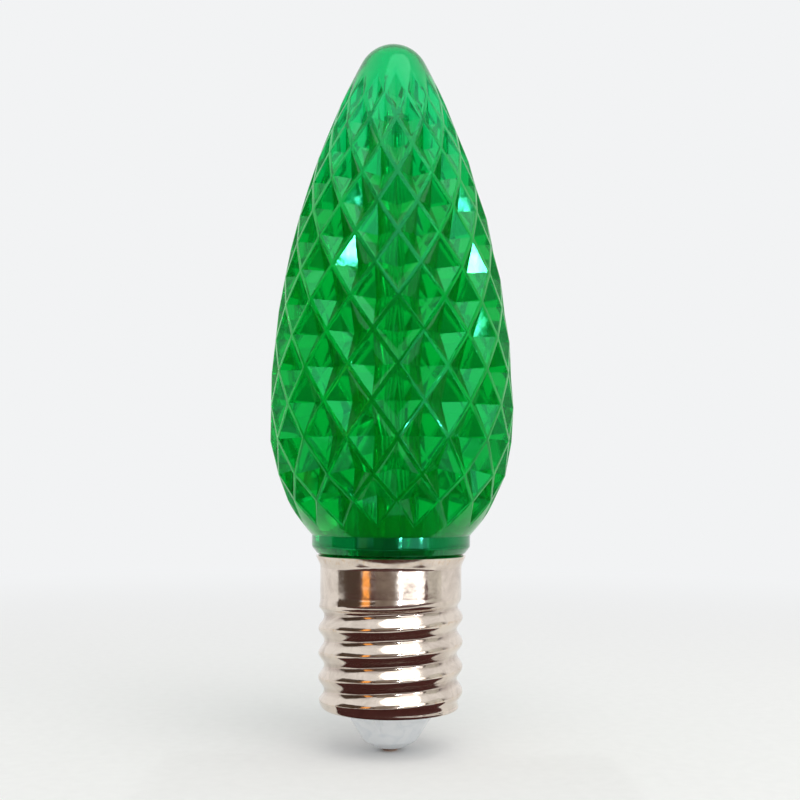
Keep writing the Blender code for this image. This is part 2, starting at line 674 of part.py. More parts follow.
def smoothing_capacitor():
    """A small upright can on the back of the foot, with a rolled bead near its seal."""
    bead = CAPACITOR_BOTTOM + CAPACITOR_ROUND + CAPACITOR_BEAD_HEIGHT
    outline = filleted(
        [
            (0, CAPACITOR_BOTTOM, 0),
            (CAPACITOR_RADIUS, CAPACITOR_BOTTOM, CAPACITOR_ROUND),
            (CAPACITOR_RADIUS, bead - CAPACITOR_BEAD_HEIGHT / 2, 0),
            (CAPACITOR_RADIUS - CAPACITOR_BEAD_DEPTH, bead, 0),
            (CAPACITOR_RADIUS, bead + CAPACITOR_BEAD_HEIGHT / 2, 0),
            (CAPACITOR_RADIUS, CAPACITOR_TOP, CAPACITOR_ROUND),
            (0, CAPACITOR_TOP, 0),
        ],
        steps=2,
    )
    sleeve = material("capacitor_sleeve", "23305a", 0.35)
    can = finished("smoothing_capacitor", turned(outline, SMALL_SEGMENTS), sleeve)
    can.location.y = SOLDERED_FACE + CAPACITOR_RADIUS
    return can


def wire(name, points, colour):
    """A bare or tinned wire through a short list of points."""
    curve = bpy.data.curves.new(name, "CURVE")
    curve.dimensions = "3D"
    curve.bevel_depth = WIRE_RADIUS
    curve.bevel_resolution = 2
    curve.use_fill_caps = True
    spline = curve.splines.new("POLY")
    spline.points.add(len(points) - 1)
    for point, place in zip(spline.points, points):
        point.co = (*place, 1)
    curve.materials.append(material(name + "_metal", colour, 0.3, metallic=1.0))
    piece = bpy.data.objects.new(name, curve)
    bpy.context.scene.collection.objects.link(piece)
    return piece


def wires():
    """The two feeds: from the rivet's tail to the board, and from the board to the shell."""
    by_tail = CONTACT_TAIL_RADIUS + SEAT_GAP + WIRE_RADIUS
    by_board = BOARD_FACE + SEAT_GAP + WIRE_RADIUS
    centre_lead = wire(
        "centre_lead",
        [
            (0, by_tail, TAIL_BOTTOM),
            (0, by_tail, SLOT_FLOOR),
            (0, by_board, BOARD_BOTTOM + SEAT_GAP),
            (0, by_board, BOARD_BOTTOM + CENTRE_WIRE_LAP),
        ],
        "c8b9a0",
    )
    side_x = FOOT_HALF_WIDTH - SIDE_WIRE_INSET
    notch_height = PLUG_TOP - WIRE_NOTCH_DEPTH / 2
    side_lead = wire(
        "side_lead",
        [
            (side_x, by_board, notch_height - SIDE_WIRE_LAP),
            (side_x, by_board, notch_height - 2 * WIRE_RADIUS),
            on_ring(CAVITY_RADIUS - 2 * WIRE_RADIUS, SIDE_WIRE_ANGLE, notch_height),
            on_ring(SHELL_INSIDE_RADIUS - SEAT_GAP, SIDE_WIRE_ANGLE, notch_height),
        ],
        "c8b9a0",
    )
    return [centre_lead, side_lead]


def main():
    clear_scene()
    frame = board_frame()
    lens()
    screw_shell()
    base_plug(frame)
    centre_contact()
    resistor_x = (RECTIFIER_WIDTH + RESISTOR_WIDTH) / 2 + SEAT_GAP
    on_board = [
        led_board(),
        *light_diodes(),
        bridge_rectifier(),
        resistor("resistor_1", -resistor_x),
        resistor("resistor_2", resistor_x),
        smoothing_capacitor(),
        *wires(),
    ]
    for piece in on_board:
        piece.parent = frame


main()
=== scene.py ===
import math
from functools import partial

import bmesh
import bpy
from mathutils import Matrix, Vector


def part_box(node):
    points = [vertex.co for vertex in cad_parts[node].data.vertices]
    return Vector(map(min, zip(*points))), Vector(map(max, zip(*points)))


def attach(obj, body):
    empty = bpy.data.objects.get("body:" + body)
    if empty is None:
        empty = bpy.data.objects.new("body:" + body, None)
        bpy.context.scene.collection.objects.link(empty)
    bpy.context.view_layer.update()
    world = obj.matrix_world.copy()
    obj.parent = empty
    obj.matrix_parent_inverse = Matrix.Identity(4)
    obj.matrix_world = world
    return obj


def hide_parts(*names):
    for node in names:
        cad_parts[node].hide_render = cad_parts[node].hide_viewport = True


bl_info = {
    "name": "Faceted Christmas light bulb",
    "version": (1, 0, 0),
    "blender": (4, 5, 0),
    "location": "3D View > Sidebar > Bulb",
    "description": "Dresses the packed solids of a C9-size light bulb and sets its stage",
    "category": "Object",
}

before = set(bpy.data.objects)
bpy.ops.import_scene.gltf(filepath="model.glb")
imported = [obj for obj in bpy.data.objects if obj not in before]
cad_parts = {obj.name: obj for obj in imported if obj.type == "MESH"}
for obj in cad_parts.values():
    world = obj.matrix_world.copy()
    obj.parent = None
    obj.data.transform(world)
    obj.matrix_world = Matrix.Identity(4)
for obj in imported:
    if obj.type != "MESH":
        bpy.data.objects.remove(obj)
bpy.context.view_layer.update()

MM = 0.001
GAP = 0.3 * MM  # what pieces that touch keep between them
SPIGOT_END, LENS_TIP = (corner.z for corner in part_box("lens"))
SHELL_FOOT, SHELL_LIP = (corner.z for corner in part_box("screw_shell"))
PLUG_FOOT, PLUG_RIM = (corner.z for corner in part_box("base_plug"))
BOARD_LOW, BOARD_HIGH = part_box("led_board")
BOARD_THICKNESS = BOARD_HIGH.x - BOARD_LOW.x


# Sizes and colours that a user would change


def length(name, description, millimetres):
    return bpy.props.FloatProperty(
        name=name, description=description, default=millimetres * MM, min=0,
        unit="LENGTH", subtype="DISTANCE", precision=5,
    )


def turn(name, description, degrees):
    return bpy.props.FloatProperty(
        name=name, description=description, default=math.radians(degrees), unit="ROTATION", subtype="ANGLE"
    )


def share(name, description, default, highest=1.0):
    return bpy.props.FloatProperty(name=name, description=description, default=default, min=0, max=highest)


def count(name, description, default, lowest, highest):
    return bpy.props.IntProperty(
        name=name, description=description, default=default, min=lowest, max=highest
    )


def colour(name, description, hex_digits):
    return bpy.props.StringProperty(name=name, description=description, default=hex_digits, maxlen=6)



class LensSizes(bpy.types.PropertyGroup):
    """The cut cover of the bulb"""

    seat: length("Seat height", "Where the cover rests above the shell's lip", (SHELL_LIP + GAP) / MM)
    neck_radius: length("Neck radius", "Radius of the plain band above the shell", 9.1)
    neck_height: length("Neck height", "Height of the plain band", 2.07)
    neck_chamfer_height: length("Neck chamfer height", "Height of the chamfer under the band", 0.75)
    neck_chamfer_depth: length("Neck chamfer depth", "How far the chamfer cuts in", 0.6)
    belly_above_seat: length("Belly height", "Height of the widest place above the seat", 14.6)
    belly_radius: length("Belly radius", "Radius of the widest place", 14.0)
    tip_radius: length("Tip radius", "Radius of the rounded tip", 4.2)
    diamonds: count("Diamonds", "Diamonds in each row", 16, 6, 32)
    pattern_above_seat: length("Pattern start", "Height of the lowest diamond corners", 3.15)
    plain_edge: length("Plain edge", "Smooth strip beyond the last corners", 0.5)
    plain_tip: length("Plain tip", "Height at the tip that stays smooth", 3.7)
    low_step: length("Low row step", "Height of the first two rows", 2.86)
    row_step: length("Row step", "Height of the third row", 3.88)
    row_ratio: share("Row ratio", "How each further row shrinks towards the tip", 0.982)
    ridge_width: length("Ridge width", "Flat width left between two diamonds", 0.46)
    facet_slope: turn("Facet slope", "How steeply a diamond's facets sink", 29)
    ridge_round: length("Ridge rounding", "Softening of the ridge's edges", 0.045)
    spigot_radius: length("Spigot radius", "Radius of the part inside the shell", 6.98)
    bore_mouth_radius: length("Bore mouth radius", "Radius of the bore at its open end", 4.38)
    bore_end_radius: length("Bore end radius", "Radius of the bore's domed end", 3.0)
    bore_end_wall: length("Bore end wall", "Solid plastic left above the bore", 9.0)


class ShellSizes(bpy.types.PropertyGroup):
    """The threaded metal shell"""

    wall: length("Wall", "Thickness of the sheet", 0.35)
    pitch: length("Pitch", "Height of one turn, nine turns to the inch", 25.4 / 9)
    crest_radius: length("Crest radius", "Outer radius of the thread", 8.3)
    thread_depth: length("Thread depth", "From crest to valley", 0.67)
    crest_above_foot: length("Crest phase", "Height of a crest on the positive X side", 7.8)
    run_out: length("Run-out", "Height over which the thread fades into the barrel", 1.7)
    barrel_radius: length("Barrel radius", "Radius of the plain part", 8.12)
    barrel_length: length("Barrel length", "Height of the plain part", 3.3)
    lip_flare: length("Lip flare", "How far the lip stands out", 0.5)
    lip_height: length("Lip height", "Height of the flared lip", 1.1)
    lip_round: length("Lip rounding", "Radius of the lip's curve", 1.2)
    rim_round: length("Rim rounding", "Radius of the turned-in foot", 0.9)
    hole_radius: length("Hole radius", "Radius of the opening for the plug", 5.65)
    edge_round: length("Edge rounding", "Softening of the sheet's cut edges", 0.07)
    rows_per_turn: count("Rows per turn", "Fineness of the thread", 16, 6, 40)


class PlugSizes(bpy.types.PropertyGroup):
    """The white plug and the contact under it"""

    recess_radius: length("Recess radius", "Radius of the recess that the contact sits in", 1.2)
    recess_roof: length("Recess roof", "Height of the recess's roof", 0.7)
    tip_radius: length("Cone tip radius", "Radius of the cone's blunt end", 1.65)
    tip_height: length("Cone tip height", "Height of that end's outer edge", 0.43)
    edge_radius: length("Cone edge radius", "Radius where the cone's blunt end begins", 3.1)
    edge_height: length("Cone edge height", "Height of that edge above the contact", 1.25)
    edge_round: length("Cone edge rounding", "Rounding of the cone's edges", 0.4)
    top_radius: length("Cone top radius", "Radius where the cone meets the shell", 5.35)
    shoulder: length("Shoulder height", "Height of the step inside the shell", SHELL_FOOT / MM + 0.65)
    radius: length("Plug radius", "Radius inside the shell", 6.98)
    cavity_radius: length("Cavity radius", "Radius of the cup inside the plug", 5.43)
    floor: length("Floor height", "Height of the cup's floor", 6.8)
    hole_radius: length("Hole radius", "Radius of the hole for the contact's shank", 0.9)
    seam_angle: turn("Seam place", "Where the moulding seam stands round the cone", -104.5)
    seam_lean: turn("Seam lean", "How far the seam leans", 7)
    seam_width: length("Seam width", "Half the seam's width at the shell", 1.2)
    seam_depth: length("Seam depth", "Depth of the seam at the shell", 0.5)
    contact_flat: length("Contact face radius", "Radius of the contact's flat face", 0.8)
    contact_head: length("Contact head radius", "Radius of the contact's head", 1.0)
    contact_height: length("Contact head height", "Height of the contact's head", 0.5)
    tail_radius: length("Contact tail radius", "Radius of the contact's riveted end", 1.0)
    notch_angle: turn("Notch place", "Where the side wire leaves the cup", 122)
    notch_depth: length("Notch depth", "Depth of the side wire's notch", 1.5)
    notch_width: length("Notch width", "Width of the side wire's notch", 1.1)


class FinishColours(bpy.types.PropertyGroup):
    """Colours of the finishes, as six hexadecimal digits"""

    lens_body: colour("Lens", "The cover's green", "00c542")
    lens_deep: colour("Lens, deep", "The cover's green where it is dyed more", "00ae30")
    # Painted light: a brighter, bluer green given to the tip, for how the lit tip looks
    lens_lit_tip: colour("Lens tip", "The cover's bluer green at the tip", "00d06e")
    # Painted shade: a darker green on the neck band, for the dark look of the thick plastic there
    lens_neck_shade: colour("Lens neck", "The cover's green where it is thickest", "008038")
    nickel: colour("Nickel", "The plating", "e6d9cc")
    brass: colour("Brass", "The metal under the plating", "c49a58")
    # Used for smudges on the plating, and as painted shade in the thread's grooves and at the contact's rim
    smudge_and_shade: colour("Tarnish", "Old polish left in the grooves", "6d5148")
    plug_white: colour("Plug", "The white plastic", "eff2f4")
    plug_shade: colour("Plug shade", "The greyer swirls in it", "e2e7eb")
    copper: colour("Contact", "The plated copper contact", "d2a596")
    board: colour("Board", "Varnished board", "bfcfb4")
    board_threads: colour("Board threads", "The glass threads in the board", "93a886")
    tracks: colour("Tracks", "Copper under the varnish", "b98a52")
    diode: colour("Diode", "The diodes' white bodies", "eef0ea")
    silicone: colour("Silicone", "The window over a diode's chip", "e9e2a8")
    phosphor: colour("Phosphor", "Deeper yellow in that window", "d6cf8a")
    epoxy: colour("Epoxy", "The rectifier's and resistors' black", "17171a")
    epoxy_grain: colour("Epoxy grain", "Paler specks in it", "2a292c")
    tin: colour("Tin", "Tinned legs, caps and wires", "bdb7ac")
    tin_dull: colour("Dull tin", "Duller streaks in the tin", "a39c90")
    sleeve: colour("Sleeve", "The capacitor's sleeve", "1d2a52")
    sleeve_light: colour("Sleeve wrinkles", "Its paler wrinkles", "2a3868")
    stripe: colour("Stripe", "The stripe on the sleeve", "a9b2c4")


class StageSettings(bpy.types.PropertyGroup):
    """Camera, lamps, floor and background"""

    distance: length("Camera distance", "From the bulb's axis", 134.1)
    height: length("Camera height", "Above the floor", 30.0)
    bearing: turn("Camera bearing", "Where the camera stands round the axis", -92.78)
    roll: turn("Camera roll", "How far the picture leans", 0.3)
    lens: bpy.props.FloatProperty(
        name="Focal length", description="Of the camera's lens", default=52.4, min=1, unit="CAMERA"
    )
    shift_right: share("Shift right", "Share of the picture's width", 0.0109)
    shift_up: share("Shift up", "Share of the picture's width", 0.1115)
    background: colour("Background", "Behind the bulb and far out on the floor", "f2f3f4")
    room: colour("Room", "The dark room behind the camera, which only the bulb's gloss shows", "4a3d36")
    ceiling: colour("Ceiling", "The shaded ceiling, which shows only through the lens", "8a928e")
    floor: colour("Floor", "The floor near the bulb", "edeeee")
    floor_fibres: colour("Floor fibres", "Paler fibres in the floor's paper", "f4f5f5")
    floor_radius: length("Floor radius", "Of the round floor", 2000)
    fade_start: length("Fade start", "Distance at which the floor begins to fade", 40)
    fade_end: length("Fade end", "Distance at which it looks like the background", 300)
    fill: share("Fill light", "Strength of the light from all sides", 0.75, 4)


# Modelling by operators


def linear(hex_digits):
    """The linear red, green, blue and alpha of a colour written as six hexadecimal digits."""
    parts = [int(hex_digits[i : i + 2], 16) / 255 for i in (0, 2, 4)]
    return [part / 12.92 if part <= 0.04045 else ((part + 0.055) / 1.055) ** 2.4 for part in parts] + [1.0]


def to_object_mode():
    if bpy.context.mode != "OBJECT":
        bpy.ops.object.mode_set(mode="OBJECT")


def nothing_selected():
    """Leaves edit mode and selects nothing."""
    to_object_mode()
    bpy.ops.object.select_all(action="DESELECT")


def alone(piece):
    """Makes a piece the only selected and active one."""
    nothing_selected()
    piece.select_set(True)
    bpy.context.view_layer.objects.active = piece


def edited():
    return bmesh.from_edit_mesh(bpy.context.object.data)


def shown(mesh):
    bmesh.update_edit_mesh(bpy.context.object.data)
    return mesh


def select(kind, test):
    """In edit mode, selects only the vertices, edges or faces that a test on them names."""
    bpy.ops.mesh.select_mode(type=kind)
    bpy.ops.mesh.select_all(action="DESELECT")
    mesh = edited()
    items = {"VERT": mesh.verts, "EDGE": mesh.edges, "FACE": mesh.faces}[kind]
    chosen = [item for item in items if test(item)]
    for item in chosen:
        item.select_set(True)
    mesh.select_flush_mode()
    shown(mesh)
    if not chosen:
        raise RuntimeError(f"nothing to select on {bpy.context.object.name}")


def start_ring(name, radius, height, segments):
    """Adds a circle as a new piece and opens it with all its edges selected."""
    nothing_selected()
    bpy.ops.mesh.primitive_circle_add(vertices=segments, radius=radius, location=(0, 0, height))
    bpy.ops.object.transform_apply()
    piece = bpy.context.object
    piece.name = name
    piece.data.name = name
    bpy.ops.object.mode_set(mode="EDIT")
    bpy.ops.mesh.select_mode(type="EDGE")
    bpy.ops.mesh.select_all(action="SELECT")
    return piece


def selected_place():
    """The place of the first selected vertex."""
    return next(vert.co.copy() for vert in edited().verts if vert.select)


def move_ring(radius, height):
    """Lifts and widens the selected ring to a radius and height."""
    rim = selected_place()
    bpy.ops.transform.translate(value=(0, 0, height - rim.z))
    grown = radius / math.hypot(rim.x, rim.y)
    bpy.ops.transform.resize(value=(grown, grown, 1), center_override=(0, 0, height))


def carry_on(outline):
    """Extrudes the selected ring through (radius, height) points; radius 0 closes it at the axis."""
    for radius, height in outline:
        bpy.ops.mesh.extrude_edges_move()
        if radius:
            move_ring(radius, height)
        else:
            bpy.ops.transform.translate(value=(0, 0, height - selected_place().z))
            bpy.ops.mesh.merge(type="CENTER")


def turn_outwards():
    """Makes all faces of a closed piece point outwards."""
    bpy.ops.mesh.select_all(action="SELECT")
    bpy.ops.mesh.normals_make_consistent(inside=False)


def rounded(corners, steps=4):
    """Rounds the corners of an outline given as (radius, height, rounding)."""
    outline = []
    for i, (radius, height, rounding) in enumerate(corners):
        corner = Vector((radius, height))
        if not rounding:
            outline.append(corner)
            continue
        back = Vector(corners[i - 1][:2]) - corner
        ahead = Vector(corners[(i + 1) % len(corners)][:2]) - corner
        half = back.angle(ahead) / 2
        rounding = min(rounding, min(back.length, ahead.length) * 0.49 * math.tan(half))
        middle = corner + (back.normalized() + ahead.normalized()).normalized() * rounding / math.sin(half)
        arm = corner + back.normalized() * rounding / math.tan(half) - middle
        end = corner + ahead.normalized() * rounding / math.tan(half) - middle
        sweep = arm.angle_signed(end)
        for step in range(steps + 1):
            turned_arm = arm.copy()
            turned_arm.rotate(Matrix.Rotation(-sweep * step / steps, 2))
            outline.append(middle + turned_arm)
    return [(point.x, point.y) for point in outline]


def add_modifier(piece, kind, **settings):
    modifier = piece.modifiers.new(kind.lower(), kind)
    for name, value in settings.items():
        setattr(modifier, name, value)


def apply_modifiers(piece):
    alone(piece)
    for modifier in list(piece.modifiers):
        bpy.ops.object.modifier_apply(modifier=modifier.name)


def cut_away(piece, tool):
    """Cuts a tool out of a piece and removes the tool."""
    add_modifier(piece, "BOOLEAN", operation="DIFFERENCE", solver="EXACT", object=tool)
    apply_modifiers(piece)
    bpy.data.objects.remove(tool)


def even_shading(piece):
    """Shades each face by its own slope, with only the edges between them blended."""
    add_modifier(piece, "WEIGHTED_NORMAL", keep_sharp=True, weight=90)
    apply_modifiers(piece)


def hand_over(piece, node, finish, sharp_degrees=24):
    """Smooths a finished piece, gives it its finish, and lets it stand for its solid."""
    alone(piece)
    bpy.ops.object.transform_apply()
    bpy.ops.object.shade_smooth_by_angle(angle=math.radians(sharp_degrees))
    piece.data.materials.clear()
    piece.data.materials.append(finish)
    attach(piece, "root")
    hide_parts(node)


# Finishes


def add_node(tree, kind, given=(), output=None, **settings):
    """Adds a shader node and gives one of its outputs.

    Its inputs are given by name, or in the order in which the node shows them, each as a value,
    a colour's hexadecimal digits or the output that feeds it.
    """
    node = tree.nodes.new("ShaderNode" + kind)
    for name, value in settings.items():
        setattr(node, name, value)
    sockets = [socket for socket in node.inputs if socket.enabled]
    if isinstance(given, dict):
        named = {socket.name: socket for socket in reversed(sockets)}
        pairs = [(named[name], value) for name, value in given.items()]
    else:
        pairs = zip(sockets, given)
    for socket, value in pairs:
        if isinstance(value, bpy.types.NodeSocket):
            tree.links.new(value, socket)
        else:
            socket.default_value = linear(value) if isinstance(value, str) else value
    if output:
        return node.outputs[output]
    return next((socket for socket in node.outputs if socket.enabled), None)


def new_finish(name):
    """An empty material, what adds nodes to it, and the place on the piece that its patterns read."""
    finish = bpy.data.materials.new(name)
    finish.use_nodes = True
    finish.node_tree.nodes.clear()
    add = partial(add_node, finish.node_tree)
    return finish, add, add("TexCoord", output="Object")


def made_finish(recipe, *given):
    """The material that a recipe names: it adds the patterns and gives what the shader's inputs take."""
    finish, add, place = new_finish(recipe.__name__)
    add("OutputMaterial", (add("BsdfPrincipled", recipe(add, place, *given)),))
    return finish


def distance_from_axis(add, place):
    """How far a point is from the bulb's upright axis."""
    flat = add("VectorMath", (place, (1, 1, 0)), operation="MULTIPLY")
    return add("VectorMath", (flat,), "Value", operation="LENGTH")


def clear_green_polycarbonate(add, place, colours):
    """Moulded polycarbonate, dyed clear green: deep and glassy, a little milky, with painted light (a
    brighter, bluer green) at the tip and painted shade (a darker green) on the neck band.
    """
    height = add("SeparateXYZ", (place,), "Z")
    clouds = add("TexNoise", (place, 1 / (7 * MM), 1))
    dye = add("Mix", (clouds, colours.lens_deep, colours.lens_body), data_type="RGBA")
    # Painted light: towards the tip the green turns brighter and bluer
    lit_tip = add(
        "MapRange", (height, LENS_TIP - 24 * MM, LENS_TIP - 4 * MM), interpolation_type="SMOOTHSTEP"
    )
    upper = add("Mix", (lit_tip, dye, colours.lens_lit_tip), data_type="RGBA")
    # Painted shade: the plain neck band is coloured a darker green
    neck_shade_mask = add("MapRange", (height, SHELL_LIP + 2.6 * MM, SHELL_LIP + 2.3 * MM))
    body = add("Mix", (neck_shade_mask, upper, colours.lens_neck_shade), data_type="RGBA")
    sink_marks = add("TexNoise", (place, 1 / (2.2 * MM), 1))
    shrunk = add("Bump", {"Height": sink_marks, "Distance": 0.012 * MM})
    scuffs = add("TexNoise", (place, 1 / (0.5 * MM), 5, 0.7))
    polish = add("MapRange", (scuffs, 0.35, 0.75, 0.04, 0.12))
    scuffed = add("Bump", {"Height": scuffs, "Distance": 0.002 * MM, "Normal": shrunk})
    return {
        "Base Color": body,
        "Roughness": polish,
        "IOR": 1.585,
        "Transmission Weight": 0.85,
        "Specular Tint": (0.1, 1.0, 0.6, 1.0),
        "Normal": scuffed,
    }


def nickel_on_brass(add, place, colours, sizes):
    """Bright nickel on rolled brass sheet: a smudged mirror, darkened in the grooves by painted shade, warm
    on worn crests.
    """
    radius = distance_from_axis(add, place)
    height = add("SeparateXYZ", (place,), "Z")
    smudges = add(
        "TexNoise",
        {"Vector": place, "Scale": 1 / (2.6 * MM), "Detail": 4, "Roughness": 0.6, "Distortion": 0.6},
    )
    grain = add("TexNoise", (place, 1 / (0.35 * MM), 3))
    valley = sizes.crest_radius - sizes.thread_depth
    groove = add("MapRange", (radius, valley + 0.25 * MM, valley), interpolation_type="SMOOTHSTEP")
    threaded = add("MapRange", (height, thread_top(sizes), thread_top(sizes) - 1 * MM))
    in_groove = add("Math", (groove, threaded), operation="MULTIPLY")
    patches = add("MapRange", (smudges, 0.3, 0.7, 0.1, 0.4))
    # Painted shade: the thread's grooves are darkened in patches
    groove_shade = add("Math", (in_groove, patches), operation="MULTIPLY")
    on_crest = add("MapRange", (radius, sizes.crest_radius - 0.06 * MM, sizes.crest_radius))
    rubbed = add("MapRange", (grain, 0.5, 0.72, 0.0, 0.5))
    worn = add("Math", (on_crest, rubbed), operation="MULTIPLY")
    smudged = add("MapRange", (smudges, 0.42, 0.72, 0.0, 0.3))
    plated = add("Mix", (smudged, colours.nickel, colours.smudge_and_shade), data_type="RGBA")
    brassy = add("Mix", (worn, plated, colours.brass), data_type="RGBA")
    metal = add("Mix", (groove_shade, brassy, colours.smudge_and_shade), data_type="RGBA")
    polish = add("MapRange", (smudges, 0.3, 0.75, 0.07, 0.2))
    rolled = add("TexNoise", (place, 1 / (1.6 * MM), 2))
    waves = add("Bump", {"Height": rolled, "Distance": 0.02 * MM})
    fine = add("Bump", {"Height": grain, "Distance": 0.001 * MM, "Normal": waves})
    return {"Base Color": metal, "Metallic": 1.0, "Roughness": polish, "Normal": fine}


def white_moulded_plastic(add, place, colours):
    """Moulded white thermoplastic: satin, slightly see-through, with faint grey flow swirls."""
    swirls = add("TexNoise", {"Vector": place, "Scale": 1 / (1.8 * MM), "Detail": 3, "Distortion": 1.2})
    greyed = add("MapRange", (swirls, 0.45, 0.75))
    white = add("Mix", (greyed, colours.plug_white, colours.plug_shade), data_type="RGBA")
    texture = add("TexNoise", (place, 1 / (0.25 * MM), 3))
    grained = add("Bump", {"Height": texture, "Distance": 0.006 * MM})
    return {
        "Base Color": white,
        "Roughness": 0.38,
        "IOR": 1.5,
        "Subsurface Weight": 0.15,
        "Subsurface Radius": (1.0, 1.0, 1.0),
        "Subsurface Scale": 0.4 * MM,
        "Normal": grained,
    }


def plated_copper(add, place, colours, sizes):
    """Tin-washed copper rivet: warm and pinkish, finely hammered, with painted shade darkening its edge
    where it sits in the plug's recess.
    """
    radius = distance_from_axis(add, place)
    grain = add("TexNoise", (place, 1 / (0.3 * MM), 4))
    washed = add("Mix", (grain, colours.copper, colours.nickel), data_type="RGBA")
    # Painted shade: the contact darkens from its flat face out to its rim, next to the plug's recess
    rim_shade = add("MapRange", (radius, sizes.contact_flat, sizes.contact_head, 0.0, 0.6))
    metal = add("Mix", (rim_shade, washed, colours.smudge_and_shade), data_type="RGBA")
    polish = add("MapRange", (grain, 0.3, 0.7, 0.2, 0.42))
    hammered = add("Bump", {"Height": grain, "Distance": 0.01 * MM})
    return {"Base Color": metal, "Metallic": 1.0, "Roughness": polish, "Normal": hammered}


def varnished_board(add, place, colours):
    """Glass-fibre board under pale varnish: a fine weave, with copper tracks along its two edges."""
    weave = add(
        "TexWave", {"Vector": place, "Scale": 1 / (1.2 * MM), "Distortion": 0.4}, "Fac",
        wave_type="BANDS", bands_direction="Z",
    )
    side = add("SeparateXYZ", (place,), "Y")
    across = add("Math", (side,), operation="ABSOLUTE")
    track = add("MapRange", (across, 1.0 * MM, 1.1 * MM))
    edge = add("MapRange", (across, 1.5 * MM, 1.45 * MM))
    tracks = add("Math", (track, edge), operation="MULTIPLY")
    threads = add("MapRange", (weave, 0.2, 0.8, 0.0, 0.35))
    cloth = add("Mix", (threads, colours.board, colours.board_threads), data_type="RGBA")
    surface = add("Mix", (tracks, cloth, colours.tracks), data_type="RGBA")
    woven = add("Bump", {"Height": weave, "Distance": 0.01 * MM})
    return {"Base Color": surface, "Roughness": 0.35, "IOR": 1.5, "Normal": woven}


def diode_body(add, place, colours):
    """White moulded diode package with a clear yellowish window of silicone over its chip."""
    out = add("Math", (add("SeparateXYZ", (place,), "X"),), operation="ABSOLUTE")
    side = add("Math", (add("SeparateXYZ", (place,), "Y"),), operation="ABSOLUTE")
    face_level = BOARD_THICKNESS / 2 + 0.5 * MM
    face = add("MapRange", (out, face_level, face_level + 0.05 * MM))
    inside = add("MapRange", (side, 1.02 * MM, 0.95 * MM))
    window = add("Math", (face, inside), operation="MULTIPLY")
    cloudy = add("TexNoise", (place, 1 / (0.6 * MM), 2))
    silicone = add("Mix", (cloudy, colours.silicone, colours.phosphor), data_type="RGBA")
    surface = add("Mix", (window, colours.diode, silicone), data_type="RGBA")
    polish = add("MapRange", {"Value": window, "To Min": 0.42, "To Max": 0.12})
    return {"Base Color": surface, "Roughness": polish, "IOR": 1.45}


def cast_epoxy(add, place, colours):
    """Black transfer-moulded epoxy: matt, with a fine sandy grain and dull tinned legs."""
    low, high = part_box("bridge_rectifier")
    leg_top, leg_bottom = low.z + 1.1 * MM, high.z - 1.1 * MM
    edge = 0.02 * MM
    height = add("SeparateXYZ", (place,), "Z")
    above = add("MapRange", (height, leg_bottom, leg_bottom + edge))
    under = add("MapRange", (height, leg_top, leg_top - edge))
    legs = add("Math", (above, under), operation="MAXIMUM")
    grain = add("TexNoise", (place, 1 / (0.2 * MM), 4))
    epoxy = add("Mix", (grain, colours.epoxy, colours.epoxy_grain), data_type="RGBA")
    surface = add("Mix", (legs, epoxy, colours.tin), data_type="RGBA")
    sandy = add("Bump", {"Height": grain, "Distance": 0.008 * MM})
    return {"Base Color": surface, "Metallic": legs, "Roughness": 0.55, "Normal": sandy}


def resistor_ceramic(add, place, colours):
    """Glazed black resistor chip with bright solder caps at its two ends."""
    low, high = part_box("resistor_1")
    cap_edge = (high.z - low.z) / 2 - 0.5 * MM
    height = add("SeparateXYZ", (place,), "Z")
    middle = add("Math", (height, (low.z + high.z) / 2), operation="SUBTRACT")
    away = add("Math", (middle,), operation="ABSOLUTE")
    cap = add("MapRange", (away, cap_edge - 0.02 * MM, cap_edge))
    grain = add("TexNoise", (place, 1 / (0.15 * MM), 3))
    glaze = add("Mix", (grain, colours.epoxy, colours.epoxy_grain), data_type="RGBA")
    surface = add("Mix", (cap, glaze, colours.tin), data_type="RGBA")
    uneven = add("Bump", {"Height": grain, "Distance": 0.005 * MM})
    return {"Base Color": surface, "Metallic": cap, "Roughness": 0.3, "Normal": uneven}


def shrunk_sleeve(add, place, colours):
    """Shrunk plastic sleeve on an aluminium can: dark blue, glossy, wrinkled, with a paler stripe."""
    _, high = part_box("smoothing_capacitor")
    side = add("SeparateXYZ", (place,), "Y")
    height = add("SeparateXYZ", (place,), "Z")
    stripe = add("MapRange", (side, high.y - 1.2 * MM, high.y - 1.1 * MM))
    wrinkles = add("TexNoise", {"Vector": place, "Scale": 1 / (0.9 * MM), "Detail": 3, "Distortion": 0.8})
    sleeve = add("Mix", (wrinkles, colours.sleeve, colours.sleeve_light), data_type="RGBA")
    surface = add("Mix", (stripe, sleeve, colours.stripe), data_type="RGBA")
    can_end = add("MapRange", (height, high.z - 0.12 * MM, high.z - 0.1 * MM))
    wrinkled = add("Bump", {"Height": wrinkles, "Distance": 0.02 * MM})
    return {"Base Color": surface, "Metallic": can_end, "Roughness": 0.28, "Normal": wrinkled}


def tinned_wire(add, place, colours):
    """Tinned copper wire: bright but slightly dull, with drawn streaks."""
    streaks = add("TexNoise", (place, 1 / (0.25 * MM), 3))
    metal = add("Mix", (streaks, colours.tin, colours.tin_dull), data_type="RGBA")
    polish = add("MapRange", (streaks, 0.3, 0.7, 0.25, 0.42))
    return {"Base Color": metal, "Metallic": 1.0, "Roughness": polish}


# The pieces

# Numbers in the lens's row layer: plain ends, ridges, and from 1 up the rows of facets
PLAIN = -1
RIDGE = 0
NEAR = 0.01 * MM  # vertices this close are on one level
SAME = 0.0005 * MM  # vertices this close are one
# How finely the round forms are divided
FORM_SEGMENTS = 192
FORM_STEPS = 120
SHELL_SEGMENTS = 144
PLUG_SEGMENTS = 96
CONTACT_SEGMENTS = 64


